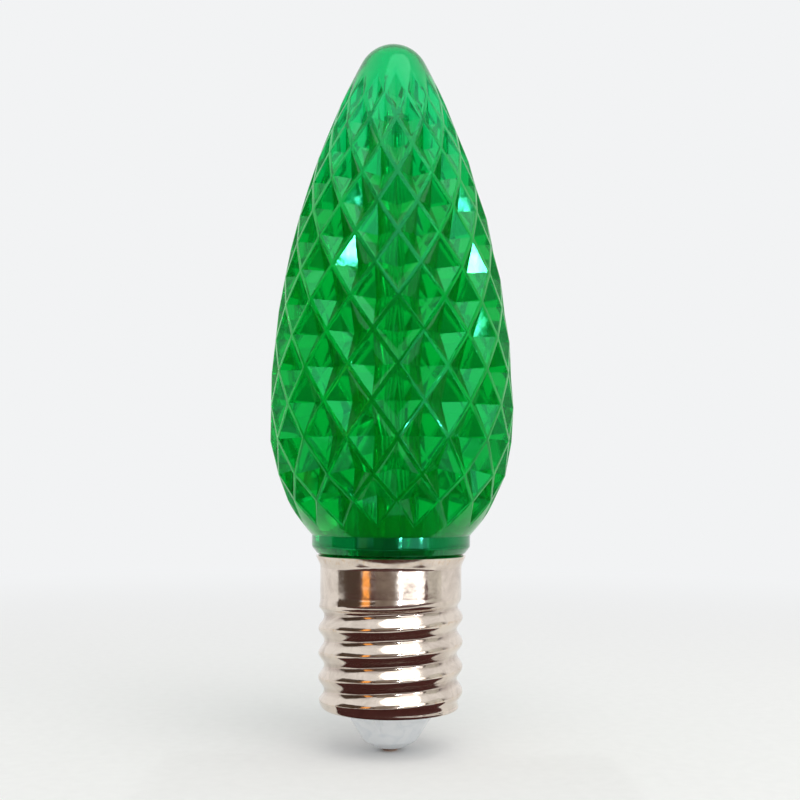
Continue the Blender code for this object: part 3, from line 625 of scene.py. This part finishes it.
def lens_form(sizes):
    """The radius of the smooth form under the diamonds, as a function of height."""
    neck_top = sizes.seat + sizes.neck_height
    belly = sizes.seat + sizes.belly_above_seat
    step = sizes.belly_radius - sizes.neck_radius
    lower = (step**2 + (belly - neck_top) ** 2) / (2 * step)
    rise = LENS_TIP - belly
    upper = (sizes.belly_radius**2 + rise**2 - 2 * rise * sizes.tip_radius) / (
        2 * (sizes.belly_radius - sizes.tip_radius)
    )

    def radius_at(height):
        arc = lower if height < belly else upper
        return sizes.belly_radius - arc + math.sqrt(arc**2 - (height - belly) ** 2)

    tip_centre = LENS_TIP - sizes.tip_radius
    tip_angle = math.atan2(tip_centre - belly, upper - sizes.belly_radius)
    return radius_at, tip_centre, tip_angle


def along(radius_at, start, end, steps):
    """Even points on the smooth form after one height and before another."""
    heights = [start + (end - start) * step / steps for step in range(1, steps)]
    return [(radius_at(height), height) for height in heights]


def pattern_rows(sizes):
    """The heights of the diamonds' corners, from the neck to the tip."""
    first = sizes.seat + sizes.pattern_above_seat
    rows = [first, first + sizes.low_step, first + 2 * sizes.low_step]
    step = sizes.row_step
    while rows[-1] + step < LENS_TIP - sizes.plain_tip:
        rows.append(rows[-1] + step)
        step *= sizes.row_ratio
    return rows


def smooth_form(sizes, radius_at, rows):
    """A fine turned copy of the smooth form, to press plain parts of the lens onto."""
    low, high = rows[0] - 2 * sizes.plain_edge, rows[-1] + 2 * sizes.plain_edge
    form = start_ring("smooth_form", radius_at(low), low, FORM_SEGMENTS)
    carry_on([*along(radius_at, low, high, FORM_STEPS), (radius_at(high), high)])
    return form


def lay_diamonds(sizes, radius_at, rows):
    """Rings of quads, poked and freed of their old edges, leave a net of diamonds between plain ends."""
    low = rows[0] - sizes.plain_edge
    lens = start_ring("cut_lens", radius_at(low), low, sizes.diamonds)
    carry_on([(radius_at(height), height) for height in rows[1::2]])
    bpy.ops.mesh.select_mode(type="FACE")
    bpy.ops.mesh.select_all(action="SELECT")
    bpy.ops.mesh.poke(center_mode="MEDIAN")
    rings = [low, *rows[1::2]]
    for half, height in enumerate(rows[0::2]):
        between = (rings[half] + rings[half + 1]) / 2
        select("VERT", lambda vert, z=between: abs(vert.co.z - z) < NEAR)
        move_ring(radius_at(height), height)

    def old_edge(edge):
        one, other = (vert.co for vert in edge.verts)
        level = abs(one.z - other.z) < NEAR
        upright = not level and one.xy.angle(other.xy) < 0.001
        lowest, highest = sorted((one.z, other.z))
        return lowest > rows[0] and (upright or (level and highest < rows[-1] - NEAR))

    select("EDGE", old_edge)
    bpy.ops.mesh.dissolve_edges(use_verts=False)
    mesh = edited()
    row_of = mesh.faces.layers.int.new("row")
    for face in mesh.faces:
        face[row_of] = RIDGE if len(face.verts) == 4 else PLAIN
    shown(mesh)
    return lens


def sink_diamonds(sizes, radius_at, rows):
    """Leaves a ridge round each diamond and sinks its middle, row by row."""
    select_rows(lambda row: row == RIDGE)
    bpy.ops.mesh.inset(thickness=sizes.ridge_width / 2, use_individual=True, use_even_offset=True)
    mesh = edited()
    row_of = mesh.faces.layers.int["row"]
    cut_rows = range(1, len(rows) - 1)
    for face in mesh.faces:
        if face.select:
            middle = face.calc_center_median().z
            face[row_of] = min(cut_rows, key=lambda row: abs(rows[row] - middle))
    shown(mesh)
    for row in cut_rows:
        select_rows(lambda found, row=row: found == row)
        half_width = math.pi * radius_at(rows[row]) / sizes.diamonds
        bpy.ops.mesh.poke(offset=-half_width * math.tan(sizes.facet_slope), center_mode="MEDIAN")


def select_rows(test):
    """Selects the faces whose row number passes a test."""
    row_of = edited().faces.layers.int["row"]
    select("FACE", lambda face: test(face[row_of]))


def soften_ridges(sizes):
    """Rounds the edges between the ridges and the facets, as a mould's polished edges are."""
    row_of = edited().faces.layers.int["row"]

    def ridge_edge(edge):
        rows = sorted(face[row_of] for face in edge.link_faces)
        return len(rows) == 2 and rows[0] == RIDGE and rows[1] > RIDGE

    select("EDGE", ridge_edge)
    bpy.ops.mesh.bevel(offset=sizes.ridge_round, segments=2, affect="EDGES", clamp_overlap=True)


def smooth_plain_ends(lens, form, radius_at, rims):
    """Divides the plain ends finely, makes their rims round and presses them onto the smooth form."""
    select_rows(lambda row: row == PLAIN)
    bpy.ops.mesh.subdivide(number_cuts=3)
    for level in rims:
        select_rim(level)
        bpy.ops.transform.tosphere(value=1)
        move_ring(radius_at(level), level)
    select_rows(lambda row: row == PLAIN)
    group = lens.vertex_groups.new(name="plain")
    bpy.ops.mesh.select_mode(type="VERT")
    bpy.ops.object.vertex_group_assign()
    add_modifier(
        lens, "SHRINKWRAP", target=form, wrap_method="NEAREST_SURFACEPOINT", vertex_group=group.name
    )
    apply_modifiers(lens)
    bpy.data.objects.remove(form)


def select_rim(level):
    """Selects the open rim at a height."""
    select("EDGE", lambda edge: edge.is_boundary and abs(edge.verts[0].co.z - level) < 5 * NEAR)


def dome(centre, radius, first_angle, steps):
    """The outline of a round end, from an angle above its level to its pole."""
    angles = [first_angle + (math.pi / 2 - first_angle) * step / steps for step in range(steps)]
    outline = [(radius * math.cos(angle), centre + radius * math.sin(angle)) for angle in angles]
    return outline + [(0, centre + radius)]


class BULB_OT_lens(bpy.types.Operator):
    """Model the cut green lens with its neck, spigot and bore"""

    bl_idname = "bulb.lens"
    bl_label = "Lens"

    def execute(self, context):
        sizes = context.scene.bulb_lens
        radius_at, tip_centre, tip_angle = lens_form(sizes)
        rows = pattern_rows(sizes)
        form = smooth_form(sizes, radius_at, rows)
        lens = lay_diamonds(sizes, radius_at, rows)
        sink_diamonds(sizes, radius_at, rows)
        soften_ridges(sizes)
        low = rows[0] - sizes.plain_edge
        smooth_plain_ends(lens, form, radius_at, (low, rows[-1]))

        bpy.ops.object.mode_set(mode="EDIT")
        select_rim(rows[-1])
        tip_start = tip_centre + sizes.tip_radius * math.sin(tip_angle)
        carry_on(along(radius_at, rows[-1], tip_start, steps=4))
        carry_on(dome(tip_centre, sizes.tip_radius, tip_angle, steps=12))

        select_rim(low)
        neck_top = sizes.seat + sizes.neck_height
        carry_on(along(radius_at, low, neck_top, steps=4))
        chamfer_top = sizes.seat + sizes.neck_chamfer_height
        carry_on(
            rounded(
                [
                    (sizes.neck_radius, neck_top, 0),
                    (sizes.neck_radius, chamfer_top, 0.5 * MM),
                    (sizes.neck_radius - sizes.neck_chamfer_depth, sizes.seat, 0.1 * MM),
                    (sizes.spigot_radius, sizes.seat, 0),
                    (sizes.spigot_radius, SPIGOT_END, 0.25 * MM),
                    (sizes.bore_mouth_radius, SPIGOT_END, 0),
                ]
            )
        )
        bore_centre = LENS_TIP - sizes.bore_end_wall - sizes.bore_end_radius
        carry_on(dome(bore_centre, sizes.bore_end_radius, 0, steps=8))
        turn_outwards()
        finish = made_finish(clear_green_polycarbonate, context.scene.bulb_colours)
        hand_over(lens, "lens", finish)
        even_shading(lens)
        return {"FINISHED"}


def eased(value):
    """A share that leaves 0 and reaches 1 without a kink."""
    value = min(max(value, 0), 1)
    return value * value * (3 - 2 * value)


def thread_top(sizes):
    return SHELL_LIP - sizes.lip_height - sizes.barrel_length


def thread_shares(sizes, height):
    """How much of the thread is there below the barrel, and how much of that above the rim."""
    below = eased((thread_top(sizes) - height) / sizes.run_out)
    return below, below * eased((height - SHELL_FOOT) / sizes.rim_round)


def shell_outline(sizes):
    """The shell's outside with its thread's valleys all round, from the lip down and in under the plug."""
    start = thread_top(sizes)
    middle_radius = sizes.crest_radius - sizes.thread_depth / 2
    top = rounded(
        [
            (sizes.barrel_radius + sizes.lip_flare, SHELL_LIP, 0),
            (sizes.barrel_radius, SHELL_LIP - sizes.lip_height, sizes.lip_round),
            (sizes.barrel_radius, start, 0),
        ],
        steps=8,
    )
    rim_top = SHELL_FOOT + sizes.rim_round
    steps = round((start - rim_top) / sizes.pitch * sizes.rows_per_turn)
    step = (start - rim_top) / steps
    threaded = [(middle_radius, start - step * row) for row in range(1, steps)]
    foot = rounded(
        [
            (*threaded[-1], 0),
            (middle_radius, SHELL_FOOT, sizes.rim_round),
            (sizes.hole_radius, SHELL_FOOT, 0),
        ],
        steps=8,
    )
    outline = []
    for radius, height in top + threaded[:-1] + foot:
        below, both = thread_shares(sizes, height)
        widened = (sizes.barrel_radius - middle_radius) * (1 - below) if height < start else 0
        outline.append((radius + widened - sizes.thread_depth / 2 * both, height))
    return outline


def turn_from_axis():
    """Turns the faces of an open wall away from the axis."""
    face = max(edited().faces, key=lambda face: face.normal.xy.length)
    if face.normal.xy.dot(face.calc_center_median().xy) < 0:
        bpy.ops.mesh.select_all(action="SELECT")
        bpy.ops.mesh.flip_normals()


class BULB_OT_shell(bpy.types.Operator):
    """Model the screw shell from sheet metal and roll its thread"""

    bl_idname = "bulb.shell"
    bl_label = "Screw shell"

    def execute(self, context):
        sizes = context.scene.bulb_shell
        outline = shell_outline(sizes)
        shell = start_ring("threaded_shell", *outline[0], SHELL_SEGMENTS)
        carry_on(outline[1:])
        turn_outwards()
        turn_from_axis()
        to_object_mode()
        thread = shell.vertex_groups.new(name="thread")
        for vert in shell.data.vertices:
            angle = math.atan2(vert.co.y, vert.co.x)
            above_crest = vert.co.z - SHELL_FOOT - sizes.crest_above_foot
            wave = 0.5 + 0.5 * math.cos(math.tau * above_crest / sizes.pitch - angle)
            _, both = thread_shares(sizes, vert.co.z)
            thread.add([vert.index], wave * both, "REPLACE")
        add_modifier(
            shell, "DISPLACE",
            direction="NORMAL", mid_level=0, strength=sizes.thread_depth, vertex_group=thread.name,
        )
        add_modifier(shell, "SOLIDIFY", thickness=sizes.wall, offset=-1, use_even_offset=True)
        add_modifier(shell, "BEVEL", width=sizes.edge_round, segments=2, angle_limit=math.radians(60))
        apply_modifiers(shell)
        finish = made_finish(nickel_on_brass, context.scene.bulb_colours, sizes)
        hand_over(shell, "screw_shell", finish, sharp_degrees=40)
        even_shading(shell)
        return {"FINISHED"}


def seam_tool(sizes):
    """A slim wedge for the seam, widest at the shell and narrowing to a point down the cone."""
    slope = (sizes.top_radius - sizes.edge_radius) / (SHELL_FOOT - sizes.edge_height)
    low = sizes.edge_height + 0.25 * MM
    high = SHELL_FOOT + 0.2 * MM
    low_radius = sizes.edge_radius + slope * (low - sizes.edge_height)
    outer = sizes.top_radius + sizes.seam_depth
    corners = [
        Vector((outer, -sizes.seam_width, high)),
        Vector((outer, sizes.seam_width, high)),
        Vector((sizes.top_radius - sizes.seam_depth, 0, high)),
        Vector((low_radius + sizes.seam_depth / 4, 0, low)),
    ]
    nothing_selected()
    bpy.ops.mesh.primitive_cone_add(vertices=3, radius1=MM, depth=MM)
    tool = bpy.context.object
    tool.name = "seam_tool"
    bpy.ops.object.mode_set(mode="EDIT")
    for index, corner in enumerate(corners):
        select("VERT", lambda vert, index=index: vert.index == index)
        bpy.ops.transform.translate(value=corner - selected_place())
    turn_outwards()
    to_object_mode()
    foot = Matrix.Translation(corners[-1])
    lean = foot @ Matrix.Rotation(sizes.seam_lean, 4, "X") @ foot.inverted()
    tool.matrix_world = Matrix.Rotation(sizes.seam_angle, 4, "Z") @ lean
    bpy.ops.object.transform_apply()
    return tool


def box_tool(name, size, centre, turned=0.0):
    """A box to cut with."""
    nothing_selected()
    bpy.ops.mesh.primitive_cube_add(size=1, location=centre, rotation=(0, 0, turned), scale=size)
    tool = bpy.context.object
    tool.name = name
    bpy.ops.object.transform_apply()
    return tool


class BULB_OT_plug(bpy.types.Operator):
    """Model the white plug: a blunt cone below the shell and a cup inside it"""

    bl_idname = "bulb.plug"
    bl_label = "Plug"

    def execute(self, context):
        sizes = context.scene.bulb_plug
        outline = rounded(
            [
                (sizes.hole_radius, sizes.recess_roof, 0),
                (sizes.recess_radius, sizes.recess_roof, 0),
                (sizes.recess_radius, PLUG_FOOT, 0.05 * MM),
                (sizes.tip_radius, sizes.tip_height, sizes.edge_round),
                (sizes.edge_radius, sizes.edge_height, sizes.edge_round),
                (sizes.top_radius, SHELL_FOOT, 0),
                (sizes.top_radius, sizes.shoulder, 0),
                (sizes.radius, sizes.shoulder, 0.5 * MM),
                (sizes.radius, PLUG_RIM, 0.15 * MM),
                (sizes.cavity_radius, PLUG_RIM, 0),
                (sizes.cavity_radius, sizes.floor, 0),
                (sizes.hole_radius, sizes.floor, 0),
            ],
            steps=6,
        )
        plug = start_ring("moulded_plug", *outline[0], PLUG_SEGMENTS)
        carry_on([*outline[1:], outline[0]])
        bpy.ops.mesh.select_all(action="SELECT")
        bpy.ops.mesh.remove_doubles(threshold=SAME)
        turn_outwards()
        cut_away(plug, seam_tool(sizes))
        slot_floor = BOARD_LOW.z - GAP
        slot_height = 2 * (PLUG_RIM - slot_floor)
        slot_size = (BOARD_THICKNESS + 2 * GAP, 2 * (sizes.cavity_radius + 2 * GAP), slot_height)
        cut_away(plug, box_tool("slot_tool", slot_size, (0, 0, slot_floor + slot_height / 2)))
        middle = (sizes.radius + sizes.cavity_radius) / 2
        notch_place = from_bulb(sizes.notch_angle, middle, PLUG_RIM)
        notch_reach = 2 * (sizes.radius - sizes.cavity_radius) + GAP
        notch_size = (notch_reach, sizes.notch_width, 2 * sizes.notch_depth)
        cut_away(plug, box_tool("notch_tool", notch_size, notch_place, sizes.notch_angle))
        finish = made_finish(white_moulded_plastic, context.scene.bulb_colours)
        hand_over(plug, "base_plug", finish)
        return {"FINISHED"}


class BULB_OT_contact(bpy.types.Operator):
    """Model the riveted contact under the plug"""

    bl_idname = "bulb.contact"
    bl_label = "Contact"

    def execute(self, context):
        sizes = context.scene.bulb_plug
        low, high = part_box("centre_contact")
        shank = sizes.hole_radius - GAP
        tail_bottom = sizes.floor + GAP
        contact = start_ring("riveted_contact", sizes.contact_flat, low.z, CONTACT_SEGMENTS)
        bpy.ops.mesh.edge_face_add()
        bpy.ops.mesh.select_mode(type="EDGE")
        outline = rounded(
            [
                (sizes.contact_flat, low.z, 0),
                (sizes.contact_head, sizes.contact_height / 2, sizes.contact_height),
                (sizes.contact_head, sizes.contact_height, 0.04 * MM),
                (shank, sizes.contact_height, 0),
                (shank, tail_bottom, 0),
                (sizes.tail_radius, tail_bottom, 0),
                (sizes.tail_radius, high.z, 0.25 * MM),
                (0, high.z, 0),
            ],
            steps=6,
        )
        carry_on(outline[1:])
        turn_outwards()
        finish = made_finish(plated_copper, context.scene.bulb_colours, sizes)
        hand_over(contact, "centre_contact", finish)
        return {"FINISHED"}


class BULB_OT_board(bpy.types.Operator):
    """Give the board, its parts and the wires inside the bulb their finishes"""

    bl_idname = "bulb.board"
    bl_label = "Board and wires"

    def execute(self, context):
        colours = context.scene.bulb_colours
        tinned = made_finish(tinned_wire, colours)
        finishes = {
            "led_board": made_finish(varnished_board, colours),
            "led": made_finish(diode_body, colours),
            "bridge_rectifier": made_finish(cast_epoxy, colours),
            "resistor": made_finish(resistor_ceramic, colours),
            "smoothing_capacitor": made_finish(shrunk_sleeve, colours),
            "centre_lead": tinned,
            "side_lead": tinned,
        }
        for name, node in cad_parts.items():
            finish = finishes.get(name) or finishes.get(name.rsplit("_", 1)[0])
            if finish:
                node.data.materials.clear()
                node.data.materials.append(finish)
        return {"FINISHED"}


# Stage

# Small bright lamps whose reflections are the lens's glints: degrees from the camera, distance,
# height, width and depth in millimetres, and brightness
SPARKS = (
    (13.4, 170, 21.4, 8, 8, 170),
    (42.6, 170, 23.6, 9, 9, 170),
    (14.1, 170, 66.6, 2, 2, 60),
    (41.0, 170, 68.1, 3, 3, 60),
    (15.0, 90, 9.5, 2, 4, 40),
    (44.0, 90, 14.0, 2, 4, 40),
)
# Cards that stand before the shell: name, degrees from the camera, width in millimetres and colour
FLAG_DISTANCE = 180
FLAG_LEVEL = 46
FLAG_HEIGHT = 160
UPRIGHT_FLAGS = (
    ("left_flag", -70, 150, "44352a"),
    ("middle_flag", -8, 110, "80746a"),
    ("right_flag", 74, 90, "ccccc6"),
)
# Cards that lie before the bulb and darken the thread's valleys: name, distance, depth and width
FLAT_FLAGS = (
    ("near_flag", 12.25, 19.5, 50),
    ("far_flag", 193, 320, 500),
)


def from_bulb(bearing, distance, height):
    """A place beside the bulb."""
    return Vector((distance * math.cos(bearing), distance * math.sin(bearing), height))


def facing(place, aim):
    """The turn that makes something at a place look at a point."""
    return (aim - place).to_track_quat("-Z", "Y").to_euler()


def lamp(name, place, aim, width, depth, brightness, tint, gloss_only=True):
    """A lamp that faces a point, its brightness in times that of a white surface in plain light.

    A lamp for gloss only shows in reflections and throws no light on the floor or on matt surfaces.
    """
    data = bpy.data.lights.new(name, "AREA")
    data.shape = "RECTANGLE"
    data.size, data.size_y = width * MM, depth * MM
    data.energy = brightness * math.pi * width * depth * MM**2
    data.color = linear(tint)[:3]
    made = bpy.data.objects.new(name, data)
    bpy.context.scene.collection.objects.link(made)
    made.location = place
    made.rotation_euler = facing(place, aim)
    made.visible_camera = False
    made.visible_diffuse = not gloss_only


def flag_cloth(add, place, hex_digits):
    """Matt woven cloth, its threads a little lighter here and there."""
    fibres = add("TexNoise", (place, 1 / (9 * MM), 3))
    dark = linear(hex_digits)
    light = [min(1.6 * part, 1.0) for part in dark]
    return {"Base Color": add("Mix", (fibres, dark, light), data_type="RGBA"), "Roughness": 1.0}


def flag(name, place, turn, width, depth, hex_digits):
    """A dull card that only the bulb's gloss shows, as one is set up to give metal its dark bands."""
    nothing_selected()
    bpy.ops.mesh.primitive_plane_add(size=1)
    card = bpy.context.object
    card.name = name
    card.scale = (width * MM, depth * MM, 1)
    card.location = place
    card.rotation_euler = turn
    bpy.ops.object.transform_apply()
    card.data.materials.append(made_finish(flag_cloth, hex_digits))
    for ray in ("camera", "diffuse", "transmission", "shadow", "volume_scatter"):
        setattr(card, "visible_" + ray, False)


def stage_floor(settings):
    """A round pale floor that fades into the background far from the bulb, and keeps its shadow."""
    nothing_selected()
    bpy.ops.mesh.primitive_circle_add(vertices=96, radius=settings.floor_radius, fill_type="NGON")
    floor = bpy.context.object
    floor.name = "floor"
    bpy.ops.object.mode_set(mode="EDIT")
    bpy.ops.mesh.select_all(action="SELECT")
    for _ in range(3):
        bpy.ops.mesh.inset(thickness=settings.floor_radius / 4)
    to_object_mode()
    finish, add, place = new_finish("floor_paper")
    radius = distance_from_axis(add, place)
    fibres = add("TexNoise", (place, 1 / (1.5 * MM), 4))
    pale = add("Mix", (fibres, settings.floor, settings.floor_fibres), data_type="RGBA")
    paper = add("BsdfPrincipled", {"Base Color": pale, "Roughness": 0.9})
    glow = add("Emission", {"Color": settings.background, "Strength": 1.0})
    far = add("MapRange", (radius, settings.fade_start, settings.fade_end), interpolation_type="SMOOTHSTEP")
    add("OutputMaterial", (add("MixShader", (far, paper, glow)),))
    floor.data.materials.append(finish)


def stage_background(settings):
    """An even pale surround, which the camera, metal and glass see, and which fills the shadows.

    The bulb's gloss also shows a dark room low behind the camera, and the lens a shaded ceiling.
    """
    world = bpy.data.worlds.new("surround")
    bpy.context.scene.world = world
    world.use_nodes = True
    world.node_tree.nodes.clear()
    add = partial(add_node, world.node_tree)
    camera = add("LightPath", output="Is Camera Ray")
    glossy = add("LightPath", output="Is Glossy Ray")
    through = add("LightPath", output="Is Transmission Ray")
    shiny = add("Math", (camera, glossy), operation="MAXIMUM")
    seen = add("Math", (shiny, through), operation="MAXIMUM")
    mirrored = add("Math", (glossy, through), operation="SUBTRACT", use_clamp=True)

    direction = add("TexCoord", output="Generated")
    height = add("SeparateXYZ", (direction,), "Z")
    to_camera = from_bulb(settings.bearing, 1, 0)
    ahead = add("VectorMath", (direction, to_camera), "Value", operation="DOT_PRODUCT")
    front = add("MapRange", (ahead, -0.25, 0.05), interpolation_type="SMOOTHSTEP")
    low = add("MapRange", (height, 0.6, 0.3), interpolation_type="SMOOTHSTEP")
    behind_camera = add("Math", (front, low), operation="MULTIPLY")
    in_room = add("Math", (behind_camera, mirrored), operation="MULTIPLY")
    room = add("Mix", (in_room, settings.background, settings.room), data_type="RGBA")
    above = add("MapRange", (height, 0.05, 0.5), interpolation_type="SMOOTHSTEP")
    at_ceiling = add("Math", (above, through), operation="MULTIPLY")
    sky = add("Mix", (at_ceiling, room, settings.ceiling), data_type="RGBA")

    surround = add("Background", {"Color": sky, "Strength": 1.0})
    fill = add("Background", {"Color": "ffffff", "Strength": settings.fill})
    add("OutputWorld", (add("MixShader", (seen, fill, surround)),))


def stage_camera(settings):
    """The camera, level apart from its roll, with its picture shifted up to the bulb."""
    scene = bpy.context.scene
    data = bpy.data.cameras.new("camera")
    camera = bpy.data.objects.new("camera", data)
    scene.collection.objects.link(camera)
    scene.camera = camera
    data.sensor_width = 36
    data.lens = settings.lens
    data.shift_x = settings.shift_right
    data.shift_y = settings.shift_up
    data.clip_start = 0.01
    data.clip_end = 10
    camera.location = from_bulb(settings.bearing, settings.distance, settings.height)
    level = (-from_bulb(settings.bearing, 1, 0)).to_track_quat("-Z", "Y").to_matrix()
    camera.rotation_euler = (level @ Matrix.Rotation(settings.roll, 3, "Z")).to_euler()
    scene.view_settings.view_transform = "Standard"


class BULB_OT_stage(bpy.types.Operator):
    """Set up the floor, the surround, the lamps, the flags and the camera"""

    bl_idname = "bulb.stage"
    bl_label = "Stage"

    def execute(self, context):
        settings = context.scene.bulb_stage
        stage_background(settings)
        stage_floor(settings)
        shell = Vector((0, 0, (SHELL_FOOT + SHELL_LIP) / 2))
        lens = Vector((0, 0, LENS_TIP * 0.6))

        def beside(degrees, distance, height):
            return from_bulb(settings.bearing + math.radians(degrees), distance * MM, height * MM)

        lamp("soft_box", beside(36, 190, 46), shell, 130, 120, 1.8, "ffffff")
        lamp("warm_lamp", beside(-39, 170, 40), shell, 36, 80, 1.3, "ffa838")
        lamp("overhead", beside(20, 260, 400), lens, 420, 420, 1.7, "fffcf6", gloss_only=False)
        for degrees, distance, height, width, depth, brightness in SPARKS:
            lamp("spark", beside(degrees, distance, height), lens, width, depth, brightness, "f4fbff")
        for name, degrees, width, cloth in UPRIGHT_FLAGS:
            place = beside(degrees, FLAG_DISTANCE, FLAG_LEVEL)
            flag(name, place, facing(place, shell), width, FLAG_HEIGHT, cloth)
        for name, distance, depth, width in FLAT_FLAGS:
            flag(name, beside(0, distance, 0.3), (0, 0, settings.bearing), depth, width, "3c1614")
        stage_camera(settings)
        return {"FINISHED"}


PIECE_OPERATORS = (BULB_OT_stage, BULB_OT_lens, BULB_OT_shell, BULB_OT_plug, BULB_OT_contact, BULB_OT_board)
SETTINGS = {
    "bulb_lens": LensSizes,
    "bulb_shell": ShellSizes,
    "bulb_plug": PlugSizes,
    "bulb_colours": FinishColours,
    "bulb_stage": StageSettings,
}


class BULB_PT_panel(bpy.types.Panel):
    """The bulb's pieces, sizes and colours"""

    bl_idname = "BULB_PT_panel"
    bl_label = "Light bulb"
    bl_space_type = "VIEW_3D"
    bl_region_type = "UI"
    bl_category = "Bulb"

    def draw(self, context):
        for operator in PIECE_OPERATORS:
            self.layout.operator(operator.bl_idname)
        for name, kind in SETTINGS.items():
            group = getattr(context.scene, name)
            box = self.layout.box()
            box.label(text=kind.__doc__)
            for entry in kind.__annotations__:
                box.prop(group, entry)


def register():
    for kind in (*SETTINGS.values(), *PIECE_OPERATORS, BULB_PT_panel):
        bpy.utils.register_class(kind)
    for name, kind in SETTINGS.items():
        setattr(bpy.types.Scene, name, bpy.props.PointerProperty(type=kind))


def unregister():
    for name in SETTINGS:
        delattr(bpy.types.Scene, name)
    for kind in reversed((*SETTINGS.values(), *PIECE_OPERATORS, BULB_PT_panel)):
        bpy.utils.unregister_class(kind)


def main():
    register()
    bpy.ops.bulb.stage()
    bpy.ops.bulb.lens()
    bpy.ops.bulb.shell()
    bpy.ops.bulb.plug()
    bpy.ops.bulb.contact()
    bpy.ops.bulb.board()
    bpy.ops.object.select_all(action="DESELECT")


if __name__ == "__main__":
    main()
